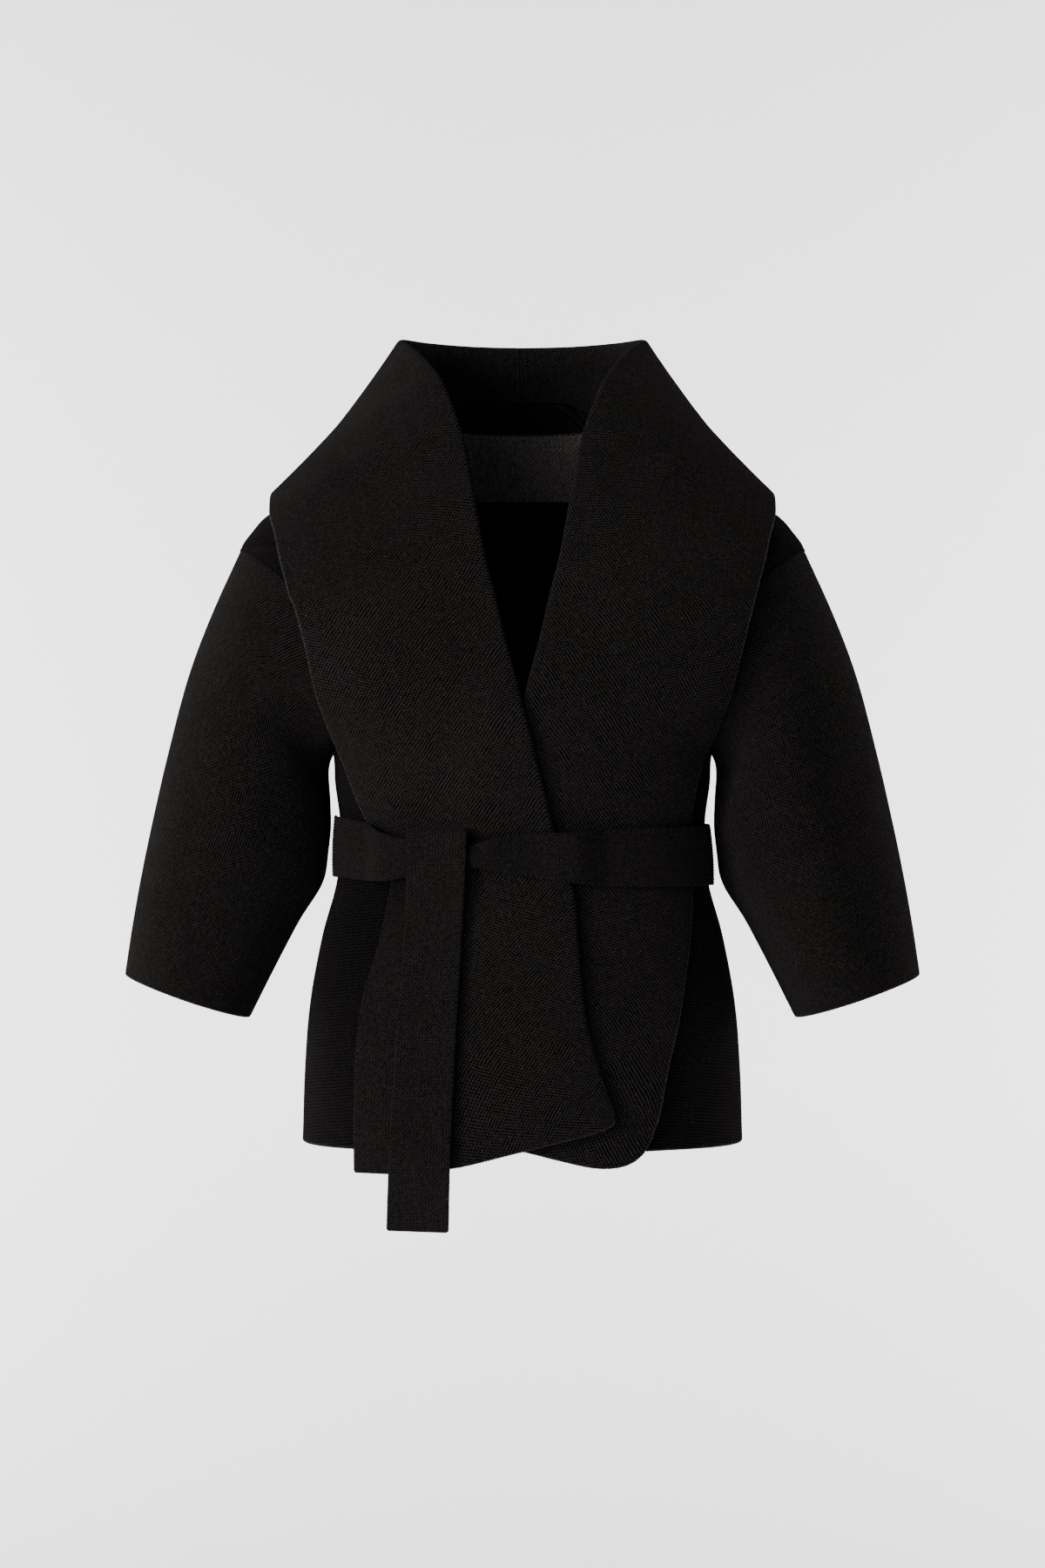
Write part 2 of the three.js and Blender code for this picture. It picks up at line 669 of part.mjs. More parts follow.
function collarStations(side) {
  const stations = [];
  for (let k = 0; k <= BACK_STATIONS; k += 1) {
    const turn = mix(90, SEAM_TURN, k / BACK_STATIONS);
    const row = collarBackAt(90 - turn);
    const seam = liftedShell(side, turn, neckSeamZ(turn) + 2 * SEAM_GAP, CLOTH / 2);
    seam.facing = shellNormal(side, turn, neckSeamZ(turn));
    const roll = new THREE.Vector3(side * row.rollX, row.rollY, row.rollZ);
    const edge = new THREE.Vector3(side * row.edgeX, row.edgeY, row.edgeZ);
    stations.push(freeFibre(seam, roll, edge, outwardOf(side, turn), row.bulge));
  }
  const heights = TORSO_ROWS.map((row) => row.z).reverse();
  for (const z of heights.slice(1)) {
    if (z <= COLLAR_MERGE_Z) {
      stations.push(lyingFibre(side, z, lapelLines(side, z)));
      continue;
    }
    const row = collarFrontAt(z);
    const turn = seamTurn(z, -SEAM_GAP / 2);
    const seam = frontShell(side, turn, z, CLOTH / 2);
    seam.facing = frontNormal(side, turn, z);
    const roll = new THREE.Vector3(side * row.rollX, row.rollY, row.rollZ);
    const edge = new THREE.Vector3(side * row.edgeX, row.edgeY, row.edgeZ);
    const free = freeFibre(seam, roll, edge, outwardOf(side, mix(turn, FRONT_OUTWARD, 0.5)), row.bulge);
    const lying = lyingFibre(side, z, { ...row, roll: row.rollX, edge: row.edgeX, rise: lapelAt(z).rise });
    free.slice(STAND_STEPS + TURN_STEPS + 1).forEach((point) => clearOfBody(side, point));
    const blend = ease(-z, BLEND_START, BLEND_END);
    for (let j = 0; j < free.length; j += 1) {
      if (j > 0 && blend === 1) free[j].facing = lying[j].facing;
      free[j].lerp(lying[j], blend);
    }
    stations.push(free);
  }
  return stations;
}

// Walls stand square to the cloth. Where a point names the way the body under it faces, that is taken
function thicken(name, middle, thickness, colour) {
  const rows = middle.length;
  const columns = middle[0].length;
  const square = (i, j) => {
    const along = middle[Math.min(i + 1, rows - 1)][j].clone().sub(middle[Math.max(i - 1, 0)][j]);
    const across = middle[i][Math.min(j + 1, columns - 1)].clone().sub(middle[i][Math.max(j - 1, 0)]);
    return along.cross(across).normalize();
  };
  const turned = Math.sign(square(rows - 2, columns - 2).dot(middle[rows - 2][columns - 2].facing));
  const offset = (i, j, amount) => {
    const point = middle[i][j];
    const sense = j < STAND_STEPS ? -turned : turned;
    const normal = point.facing ? point.facing.clone().multiplyScalar(sense) : square(i, j);
    return new THREE.Vector3().copy(point).addScaledVector(normal, amount);
  };
  const grid = (amount) => middle.map((row, i) => row.map((point, j) => offset(i, j, amount)));
  return wall(name, grid(-thickness / 2), grid(thickness / 2), colour);
}

function makeCollar(name, side) {
  const stations = collarStations(side);
  for (const point of stations[0]) point.x += (side * SEAM_GAP) / 2;
  return thicken(name, stations, CLOTH, COLOURS.cloth);
}

// Ribbed strips: the outer face carries the ribs, the inner face is plain
function ribbedStrip(name, stations, colour, ring = false) {
  const columns = 2 * BELT_RIBS + 1;
  const positions = [];
  const indices = [];
  const stride = columns + 2;
  for (const station of stations) {
    const { start, end, normal, bow } = station;
    for (let j = 0; j < columns; j += 1) {
      const crest = j % 2 === 1 ? RIB_HEIGHT : 0;
      const share = j / (columns - 1);
      const height = BELT_THICK + crest + bow * Math.sin(Math.PI * share);
      const point = start.clone().lerp(end, share).addScaledVector(normal, height);
      positions.push(point.x, point.y, point.z);
    }
    for (const point of [start, end]) positions.push(point.x, point.y, point.z);
  }
  const count = stations.length;
  const at = (i, j) => (i % count) * stride + j;
  const quad = (a, b, c, d) => indices.push(a, b, c, a, c, d);
  const steps = ring ? count : count - 1;
  for (let i = 0; i < steps; i += 1) {
    for (let j = 0; j < columns - 1; j += 1) quad(at(i, j), at(i, j + 1), at(i + 1, j + 1), at(i + 1, j));
    quad(at(i, columns - 1), at(i, columns + 1), at(i + 1, columns + 1), at(i + 1, columns - 1));
    quad(at(i, columns + 1), at(i, columns), at(i + 1, columns), at(i + 1, columns + 1));
    quad(at(i, columns), at(i, 0), at(i + 1, 0), at(i + 1, columns));
  }
  if (!ring) {
    for (const [i, flip] of [[0, false], [count - 1, true]]) {
      const base = i * stride;
      for (let j = 0; j < columns - 1; j += 1) {
        const triangle = [base + columns, base + j + 1, base + j];
        indices.push(...(flip ? triangle.reverse() : triangle));
      }
      const last = [base + columns, base + columns + 1, base + columns - 1];
      indices.push(...(flip ? last.reverse() : last));
    }
  }
  return closedMesh(name, positions, indices, colour);
}

// Belt ring, one closed loop over every layer of the body
const RING_STEPS = 38;
const KNOT_LIFT = 28.8;
const BELT_CLEAR = 2.2;
const OVERLAP_RIGHT = [14, 40];
const OVERLAP_LEFT = [12, 24];
const LAPEL_END = [70, 84];
const KNOT_RIGHT = [-52, -39];
const KNOT_LEFT = [-9, 4];
function layersUnder(angle) {
  const bothLapels = 4 * CLOTH + 3 * LAYER_GAP + LAP_CLEAR;
  const oneLapel = 2 * CLOTH + LAYER_GAP;
  const overlap = 1 - ease(-angle, ...OVERLAP_RIGHT) - ease(angle, ...OVERLAP_LEFT);
  const lapels = mix(oneLapel, bothLapels, overlap);
  return mix(lapels, CLOTH, ease(Math.abs(angle), ...LAPEL_END));
}

function ringPoint(angle, z, lift) {
  const side = angle < 0 ? -1 : 1;
  const turn = Math.abs(angle) - 90;
  return liftedShell(side, turn, z, lift);
}

function makeBeltRing() {
  const stations = [];
  for (let k = 0; k < RING_STEPS; k += 1) {
    const angle = -180 + (360 * (k + 0.5)) / RING_STEPS;
    const row = ringAt(angle);
    const knot = ease(angle, ...KNOT_RIGHT) * (1 - ease(angle, ...KNOT_LEFT));
    const lift = mix(layersUnder(angle) + BELT_CLEAR, KNOT_LIFT, knot);
    const top = ringPoint(angle, BELT_Z + row.width / 2 - row.drop, lift);
    const bottom = ringPoint(angle, BELT_Z - row.width / 2 - row.drop, lift);
    const side = angle < 0 ? -1 : 1;
    const normal = shellNormal(side, Math.abs(angle) - 90, BELT_Z).setZ(0).normalize();
    stations.push({ start: bottom, end: top, normal, bow: BELT_BOW });
  }
  return ribbedStrip('belt_waist', stations, COLOURS.belt, true);
}

// A hanging end of the belt, over the cloth of the front
function tailStation(row, z = row.z) {
  const edge = (x) => {
    const side = x < 0 ? -1 : 1;
    const shellZ = Math.max(z, HEM_Z);
    const turn = placedTurn(side, Math.abs(x), shellZ, row.lift);
    return new THREE.Vector3(x, frontShell(side, turn, shellZ, row.lift).y, z);
  };
  const start = edge(row.x - row.width / 2);
  const end = edge(row.x + row.width / 2);
  const normal = end.clone().sub(start).cross(new THREE.Vector3(0, 0, -1)).normalize();
  if (normal.y > 0) normal.negate();
  return { start, end, normal, bow: 0 };
}

const TAIL_STEP = 36;
function makeUnderTail() {
  const top = UNDER_TAIL.rows[0][0];
  const bottom = UNDER_TAIL.rows.at(-1)[0];
  const count = Math.round((top - bottom) / TAIL_STEP);
  const stations = [];
  for (let k = 0; k <= count; k += 1) {
    const z = mix(top, bottom, k / count);
    stations.push(tailStation(underTailAt(z), z));
  }
  return ribbedStrip('belt_under_tail', stations, COLOURS.belt);
}

// The end on top starts behind the ring, turns over its upper edge and hangs in front
const TURNED_LENGTH = 52;
const TURNED_STEP = 7;
function makeOverTail() {
  const length = OVER_TAIL.rows.at(-1)[0];
  const places = [];
  for (let along = 0; along < TURNED_LENGTH; along += TURNED_STEP) places.push(along);
  const count = Math.round((length - TURNED_LENGTH) / TAIL_STEP);
  for (let k = 0; k <= count; k += 1) places.push(mix(TURNED_LENGTH, length, k / count));
  const stations = places.map((along) => tailStation(overTailAt(along)));
  stations.forEach((station, k) => {
    const before = stations[Math.max(k - 1, 0)];
    const after = stations[Math.min(k + 1, stations.length - 1)];
    const along = after.start.clone().sub(before.start);
    station.normal = along.cross(station.end.clone().sub(station.start)).normalize();
  });
  return ribbedStrip('belt_over_tail', stations, COLOURS.belt);
}

// Ribbed band inside the back of the neck, equally wide from top to bottom
const BAND_TOP = -31;
const BAND_BOTTOM = -93;
const BAND_HALF_WIDTH = 64;
const BAND_STEPS = 98;
const BAND_BACK = -3;
const BAND_FACE = -5.2;
function makeNeckBand() {
  const place = (x, z, lift) => {
    const turn = -frontTurn(x, z);
    return liftedShell(x < 0 ? -1 : 1, turn, z, lift);
  };
  const inner = [];
  const outer = [];
  for (let k = 0; k <= BAND_STEPS; k += 1) {
    const x = mix(-BAND_HALF_WIDTH, BAND_HALF_WIDTH, k / BAND_STEPS);
    const crest = k % 2 === 1 ? RIB_HEIGHT : 0;
    inner.push([BAND_TOP, BAND_BOTTOM].map((z) => place(x, z, BAND_FACE - crest)));
    outer.push([BAND_TOP, BAND_BOTTOM].map((z) => place(x, z, BAND_BACK)));
  }
  return wall('neck_band', inner, outer, COLOURS.band);
}

const coat = new THREE.Group();
coat.add(makeBack());
coat.add(makeFront('front_right', -1));
coat.add(makeFront('front_left', 1));
coat.add(makeSleeve('sleeve_right', -1));
coat.add(makeSleeve('sleeve_left', 1));
coat.add(makeCollar('collar_right', -1));
coat.add(makeCollar('collar_left', 1));
coat.add(makeNeckBand());
coat.add(makeBeltRing());
coat.add(makeOverTail());
coat.add(makeUnderTail());

export default coat;
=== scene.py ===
import bisect
import functools
import math

import bpy
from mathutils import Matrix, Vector, noise


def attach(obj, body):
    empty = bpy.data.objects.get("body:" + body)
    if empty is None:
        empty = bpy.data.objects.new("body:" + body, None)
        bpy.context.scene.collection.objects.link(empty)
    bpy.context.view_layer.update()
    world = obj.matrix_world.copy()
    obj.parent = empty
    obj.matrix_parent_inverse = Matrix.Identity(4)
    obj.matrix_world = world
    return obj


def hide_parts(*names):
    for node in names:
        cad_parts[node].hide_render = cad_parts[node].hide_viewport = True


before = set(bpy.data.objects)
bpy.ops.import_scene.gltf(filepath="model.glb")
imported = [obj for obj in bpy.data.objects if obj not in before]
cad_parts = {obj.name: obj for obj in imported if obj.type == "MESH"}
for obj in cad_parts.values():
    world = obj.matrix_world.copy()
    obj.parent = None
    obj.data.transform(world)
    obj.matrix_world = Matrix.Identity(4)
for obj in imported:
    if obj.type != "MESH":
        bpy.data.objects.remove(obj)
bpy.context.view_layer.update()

# Short wrap coat of heavy black knit. Sizes here are in millimetres and become metres in mesh_object.
# The wearer's right side is at -X and the front faces -Y. "out" means away from the middle.
MM = 0.001

CLOTH = 3.5
SEAM_GAP = 0.3
BACK_NECK_GAP = 0.78
LAYER_GAP = 1.8
LAP_CLEAR = 0.6
HEM_Z = -703
UNDERARM_Z = -335
SHOULDER_TIP_Z = -153
NECK_POINT_Z = -44
NECK_SEAM_POWER = 4.5
ARMHOLE_SPREAD = 43
ARMHOLE_SQUARENESS = 0.75
COLLAR_MERGE_Z = -200
LAPEL_TURN = 34
BELT_THICK = 2.6
BELT_BOW = 1
BELT_RIBS = 20
RIB_HEIGHT = 0.7
BELT_Z = -436
FINE = 4

# Body slices: z, half width, Y of the sides, of the front middle and of the back middle, power of the oval
BODY = [
    [-730, 205, -104, -239, 35, 2.3], [-703, 203, -104, -237, 34, 2.3], [-640, 201, -104, -231, 30, 2.3],
    [-575, 196, -104, -223, 24, 2.3], [-510, 184, -104, -213, 15, 2.3], [-467, 172, -104, -206, 10, 2.3],
    [-436, 168, -104, -204, 8, 2.3], [-403, 168, -104, -208, 10, 2.3], [-370, 172.5, -104, -216, 15, 2.3],
    [-335, 176, -104, -224, 21, 2.3], [-300, 199, -105, -229, 25, 2.3], [-270, 224, -108, -230, 27, 2.3],
    [-235, 243, -112, -226, 28, 2.3], [-200, 254, -117, -219, 28, 2.3], [-175, 259, -121, -212, 27, 2.3],
    [-153, 260, -125, -206, 26, 2.3], [-136, 249, -121, -200, 25, 2.3], [-124, 239, -117, -196, 24, 2.3],
    [-114, 224, -111, -193, 23, 2.25], [-104, 205, -104, -188, 22, 2.2], [-90, 182, -95, -180, 19, 2.15],
    [-74, 154, -84, -173, 15, 2.1], [-58, 120, -70, -162, 11, 2.05], [-44, 92, -60, -154, 8, 2],
    [-22, 84, -52, -142, 4, 2], [0, 78, -46, -130, 0, 2],
]

# Lapel: z, how far out the roll and the free edge lie (left, right), how far the edge stands off
LAPEL = [
    [-720, -84, 114, 112, 0], [-700, -84, 114, 112, 0], [-668, -82.5, 123, 121, 0.8],
    [-628, -69.5, 131, 129, 1.8], [-587, -58.5, 141, 133, 1.5], [-546, -53.3, 148, 127, 0],
    [-508, -50.3, 153, 119, 0], [-467, -46.4, 155, 116, 0], [-432, -36, 153, 127, 0],
    [-407, -28.3, 153, 140, 0], [-370, -19.6, 159, 156, 4], [-331, -9.4, 171, 170, 7],
    [-280, 3.9, 189, 187, 12], [-240, 14.9, 200, 197, 12], [-200, 24, 211, 209, 9],
]
FRONT_SEAM = [
    [-340, 27], [-300, 36], [-240, 52], [-200, 62], [-150, 74], [-100, 84], [-74, 88], [-58, 89],
    [-50, 90.5], [-44, 91.95],
]

# Collar, back half by turn and front half by the height of its seam: roll point, edge point, bulge
COLLAR_BACK = [
    [0, 0, 13, 54, 0, 50, -128, 6], [30, 46, 8, 54.5, 92, 46, -126, 6],
    [60, 88, -12, 55, 170, 20, -121, 0], [90, 113, -38, 55, 223.5, -46, -110, -5],
]
COLLAR_FRONT = [
    [-44, 117, -50, 54, 231, -74, -101, -5], [-50, 111, -64, 48, 232.5, -90, -99, -4],
    [-58, 104, -78, 42, 233.5, -104, -97, -2], [-72, 90, -102, 26, 233.5, -121, -99, 3],
    [-88, 77, -125, 7, 233.5, -137, -104, 7], [-102, 67.5, -142, -16, 233, -151, -112, 11],
    [-113, 60, -156, -37, 232, -163, -121, 12], [-125, 54, -168, -58, 229, -175, -133, 11],
    [-138, 48.5, -181, -86, 225.5, -186, -146, 9], [-153, 41.5, -200, -120, 221.5, -196, -161, 6],
    [-175, 33.5, -214, -163, 216, -205, -182, 2], [-200, 24, -226, -200, 211, -210, -200, 0],
]

# Hems by how far out a point lies
FRONT_HEM = [
    [-90, -668], [-84, -670], [-70, -676.5], [-31, -687], [8, -696.5], [45, -702], [120, -700.5],
    [190, -701.5], [230, -703],
]
LAPEL_HEM = [
    [-90, -673], [-84, -675], [-70, -681.5], [-31, -691.5], [8, -701], [40, -709], [60, -713.5],
    [76, -715], [90, -713.5], [102, -708.5], [110, -701], [116, -690],
]

# Sleeve sections: outer point, inner point, middle in Y and half depth
SLEEVE = [
    [287, -200, 182, -357, -105, 84], [312, -264, 180.5, -388, -104, 84],
    [332.5, -340, 180.5, -420, -104, 83], [347.5, -405, 186, -455, -105, 80],
    [358, -456, 210.5, -500, -106, 74], [366.5, -504, 235, -547, -106, 68],
    [373, -547, 255.5, -588, -106, 63],
]

# Belt ring by angle from the middle of the front: width and how far its middle drops
RING_WIDTH = [
    [-180, 56, 0], [-120, 56, -3], [-85, 56, -8], [-70, 56, -8], [-58, 55, -6], [-48, 52.5, -3],
    [-42, 50, -0.5], [-38, 47, 1], [-34, 42, 1.5], [-30, 36.5, 1.5], [-26, 30, 1], [-20, 24.5, 0],
    [-16, 21, -1], [-12.5, 21.5, -2], [-8, 29.5, -3], [-3, 37, -3], [4, 44, -2], [12, 49, 0],
    [20, 52, 1], [35, 54, 1], [60, 55, 1], [120, 56, 0], [180, 56, 0],
]

# Belt ends: length along, z, middle in X, width, height over the body cloth
OVER_TAIL = [
    [0, -440, -80, 34, 23.8], [14, -427, -79, 44, 23.8], [22, -419, -77.5, 52, 24.5],
    [28, -414.5, -77, 53, 27], [34, -413, -77, 53, 29.5], [41, -416, -77, 52, 34.5],
    [52, -427, -77, 52, 35.8], [70, -445, -77.5, 51, 35.4], [96, -470, -78.5, 50.5, 31],
    [126, -500, -80, 50.5, 28], [162, -535, -82, 50.5, 27.5], [207, -580, -85, 51, 27.5],
    [267, -640, -88.5, 52, 27.5], [327, -700, -91.5, 53, 27.5], [357, -730, -92.5, 53.5, 27],
    [396, -769, -93.5, 54, 25.5],
]
UNDER_TAIL = [
    [-452, -110, 15, 21], [-466, -109.7, 18, 21], [-490, -110.5, 26, 21.5], [-520, -113, 34, 21.5],
    [-560, -119.5, 46, 21.5], [-610, -122.5, 53, 22], [-660, -123.5, 54, 22.3],
    [-719, -123.5, 54, 22.3],
]

# Soft folds gathered by the belt, on the back half: turn, height, spread, top and bottom
GATHERS = [
    [28, 4.5, 5, -330, -600], [46, 5, 6, -360, -640], [67, 4, 5, -350, -560], [88, 4.5, 6, -370, -620],
]
FOLD_TOP_FADE = 60
FOLD_BOTTOM_FADE = 110


def mix(a, b, t):
    """Between two numbers or two vectors."""
    return a + (b - a) * t


def ease(value, low, high):
    t = min(max((value - low) / (high - low), 0.0), 1.0)
    return t * t * (3 - 2 * t)


def reader(rows):
    """Reads a table at any value of its first column, with a smooth curve through the rows."""
    rows = sorted(rows)
    keys = [row[0] for row in rows]
    last = len(rows) - 1
    slopes = []
    for i in range(last + 1):
        low, high = rows[max(i - 1, 0)], rows[min(i + 1, last)]
        slopes.append([(b - a) / (high[0] - low[0]) for a, b in zip(low, high)])

    @functools.lru_cache(maxsize=None)
    def read(value):
        v = min(max(value, keys[0]), keys[last])
        k = min(max(bisect.bisect_left(keys, v) - 1, 0), last - 1)
        step = keys[k + 1] - keys[k]
        t = (v - keys[k]) / step
        h0 = 2 * t ** 3 - 3 * t * t + 1
        h1 = t ** 3 - 2 * t * t + t
        h2 = 3 * t * t - 2 * t ** 3
        h3 = t ** 3 - t * t
        return tuple(
            h0 * rows[k][c] + h1 * step * slopes[k][c] + h2 * rows[k + 1][c] + h3 * step * slopes[k + 1][c]
            for c in range(len(rows[0]))
        )

    return read


body_at = reader(BODY)
lapel_at = reader(LAPEL)
front_seam_at = reader(FRONT_SEAM)
collar_back_at = reader(COLLAR_BACK)
collar_front_at = reader(COLLAR_FRONT)
front_hem_at = reader(FRONT_HEM)
lapel_hem_at = reader(LAPEL_HEM)
ring_at = reader(RING_WIDTH)
over_tail_at = reader(OVER_TAIL)
under_tail_at = reader(UNDER_TAIL)


# Body shell
def gather_lift(turn, z):
    if turn < 0:
        return 0.0
    lift = 0.0
    for angle, height, spread, top, bottom in GATHERS:
        across = math.exp(-(((turn - angle) / spread) ** 2))
        lift += height * across * ease(top - z, 0, FOLD_TOP_FADE) * ease(z - bottom, 0, FOLD_BOTTOM_FADE)
    return lift


def shell_point(side, turn, z):
    _, half, side_y, front_y, back_y, oval = body_at(z)
    power = 2 / oval
    angle = math.radians(turn)
    depth = (front_y if turn < 0 else back_y) - side_y
    x = half * max(math.cos(angle), 0) ** power
    return Vector((side * x, side_y + depth * abs(math.sin(angle)) ** power, z))


@functools.lru_cache(maxsize=None)
def shell_frame(side, turn, z):
    reach, limit = 2, 89.9
    low = min(max(turn - reach, -limit), limit)
    high = min(max(turn + reach, -limit), limit)
    across = shell_point(side, high, z) - shell_point(side, low, z)
    up = shell_point(side, turn, z + reach) - shell_point(side, turn, z - reach)
    normal = across.cross(up) * side
    normal.normalize()
    return shell_point(side, turn, z), normal, gather_lift(turn, z)


def lifted_shell(side, turn, z, lift):
    point, normal, fold = shell_frame(side, turn, z)
    return point + normal * (lift + fold)


def front_turn(out, z):
    _, half, _, _, _, oval = body_at(z)
    share = min(abs(out) / half, 1)
    return -math.degrees(math.acos(share ** (oval / 2)))


def running_turn(out, z):
    return front_turn(out, z) if out >= 0 else -180 - front_turn(out, z)


def front_shell(side, turn, z, lift):
    if turn < -90:
        return lifted_shell(-side, -180 - turn, z, lift)
    return lifted_shell(side, turn, z, lift)


def front_normal(side, turn, z):
    if turn < -90:
        return shell_frame(-side, -180 - turn, z)[1]
    return shell_frame(side, turn, z)[1]


def out_of(turn, z):
    if turn < -90:
        return -shell_point(1, -180 - turn, z).x
    return shell_point(1, turn, z).x


LAP_START, LAP_FULL, LAP_REACH, LAP_SLOPE = 230, 330, 66, 50


def lap_lift(side, out, z):
    if side > 0:
        return 0.0
    over = 2 * (CLOTH + LAYER_GAP) + LAP_CLEAR
    under_roll = -lapel_at(z)[1]
    return over * ease(-z, LAP_START, LAP_FULL) * ease(under_roll + LAP_REACH - out, 0, LAP_SLOPE)


def armhole_turn(phase):
    swing = math.sin(math.radians(phase))
    return -ARMHOLE_SPREAD * math.copysign(abs(swing) ** ARMHOLE_SQUARENESS, swing)


def armhole_z(phase):
    middle = (UNDERARM_Z + SHOULDER_TIP_Z) / 2
    return middle + (SHOULDER_TIP_Z - UNDERARM_Z) / 2 * math.cos(math.radians(phase))


HEM_ROWS = 12
ARMHOLE_ROWS = 9
SHOULDER_HEIGHTS = [-138, -125, -113, -102, -88, -72, -58, -50, NECK_POINT_Z]
LAST_ROW = HEM_ROWS + ARMHOLE_ROWS + len(SHOULDER_HEIGHTS)


def torso_row(r):
    """Height of the row and how far the armhole cuts into it, for a row number that need not be whole."""
    if r <= HEM_ROWS:
        return mix(HEM_Z, UNDERARM_Z, r / HEM_ROWS), 0.0
    if r <= HEM_ROWS + ARMHOLE_ROWS:
        phase = 180 - 180 * (r - HEM_ROWS) / ARMHOLE_ROWS
        return armhole_z(phase), abs(armhole_turn(phase))
    heights = [SHOULDER_TIP_Z] + SHOULDER_HEIGHTS
    s = r - HEM_ROWS - ARMHOLE_ROWS
    k = min(int(s), len(heights) - 2)
    return mix(heights[k], heights[k + 1], s - k), 0.0


HEM_BEND = 110


def bent_height(z, hem_z):
    return z + ease(HEM_Z + HEM_BEND - z, 0, HEM_BEND) * (hem_z - HEM_Z)


# Meshes
RIM = 1.2
EXTRA = {}


def rim_lines(grid):
    """Adds a line of points close to each end of every row, so that subdivision keeps the edge tight."""
    result = []
    for row in grid:
        start = min(RIM / max((row[1] - row[0]).length, RIM), 0.5)
        end = min(RIM / max((row[-2] - row[-1]).length, RIM), 0.5)
        head, tail = mix(row[0], row[1], start), mix(row[-1], row[-2], end)
        result.append([row[0], head] + row[1:-1] + [tail, row[-1]])
    return result


def transposed(grid):
    return [list(column) for column in zip(*grid)]


def cloth_uv(grid, ring, across_from=0.5):
    """Running lengths over a grid, in metres: u across the columns, v along the rows."""
    rows, columns = len(grid), len(grid[0])
    middle = int(across_from * (columns - 1))
    v = [0.0]
    for i in range(1, rows + (1 if ring else 0)):
        v.append(v[-1] + (grid[i % rows][middle] - grid[i - 1][middle]).length)
    table = []
    for i in range(rows + (1 if ring else 0)):
        row = grid[i % rows]
        u = [0.0]
        for j in range(1, columns):
            u.append(u[-1] + (row[j] - row[j - 1]).length)
        table.append([((value - u[middle]) * MM, v[i] * MM) for value in u])
    return table


def mesh_object(name, points, faces, corners, material):
    """corners holds the UV of each face corner, in metres of cloth."""
    mesh = bpy.data.meshes.new(name)
    mesh.from_pydata([tuple(point * MM) for point in points], [], faces)
    layer = mesh.uv_layers.new(name="cloth")
    flat = [value for face in corners for uv in face for value in uv]
    layer.data.foreach_set("uv", flat)
    mesh.polygons.foreach_set("use_smooth", [True] * len(faces))
    mesh.materials.append(material)
    mesh.update()
    obj = bpy.data.objects.new(name, mesh)
    bpy.context.scene.collection.objects.link(obj)
    return obj


def signed_volume(points, faces):
    total = 0.0
    for face in faces:
        a = points[face[0]]
        for k in range(1, len(face) - 1):
            total += a.dot(points[face[k]].cross(points[face[k + 1]])) / 6
    return total


def closed_wall(name, inner, outer, material, ring=False, rims=True, levels=1):
    """A closed cloth wall between an inner and an outer grid; ring joins the last row to the first."""
    if rims:
        inner, outer = rim_lines(inner), rim_lines(outer)
        if not ring:
            inner, outer = (transposed(rim_lines(transposed(grid))) for grid in (inner, outer))
    rows, columns = len(inner), len(inner[0])
    uv = cloth_uv(outer, ring)
    points = [point for grid in (inner, outer) for row in grid for point in row]
    faces, corners = [], []

    def quad(*places):
        faces.append([layer * rows * columns + (i % rows) * columns + j for layer, i, j in places])
        corners.append([uv[i][j] for _, i, j in places])

    steps = rows if ring else rows - 1
    last = columns - 1
    for i in range(steps):
        for j in range(last):
            quad((1, i, j), (1, i, j + 1), (1, i + 1, j + 1), (1, i + 1, j))
            quad((0, i, j), (0, i + 1, j), (0, i + 1, j + 1), (0, i, j + 1))
        quad((0, i, 0), (1, i, 0), (1, i + 1, 0), (0, i + 1, 0))
        quad((0, i, last), (0, i + 1, last), (1, i + 1, last), (1, i, last))
    if not ring:
        for j in range(last):
            quad((0, 0, j), (0, 0, j + 1), (1, 0, j + 1), (1, 0, j))
            quad((0, rows - 1, j), (1, rows - 1, j), (1, rows - 1, j + 1), (0, rows - 1, j + 1))
    if signed_volume(points, faces) < 0:
        faces = [face[::-1] for face in faces]
        corners = [corner[::-1] for corner in corners]
    obj = mesh_object(name, points, faces, corners, material)
    if levels:
        subdivision = obj.modifiers.new("smooth", "SUBSURF")
        subdivision.levels = subdivision.render_levels = levels
        subdivision.boundary_smooth = "PRESERVE_CORNERS"
    return obj


BEAD_POINTS = 4
BEAD_DEPTH = 0.22
CORD_SIDES = 6
CORD_UNEVEN, CORD_UNEVEN_STEP = 0.12, 0.37
CORD_GUIDE = Vector((0.3, -0.8, 0.5))
CORD_UV_STEP = 0.001


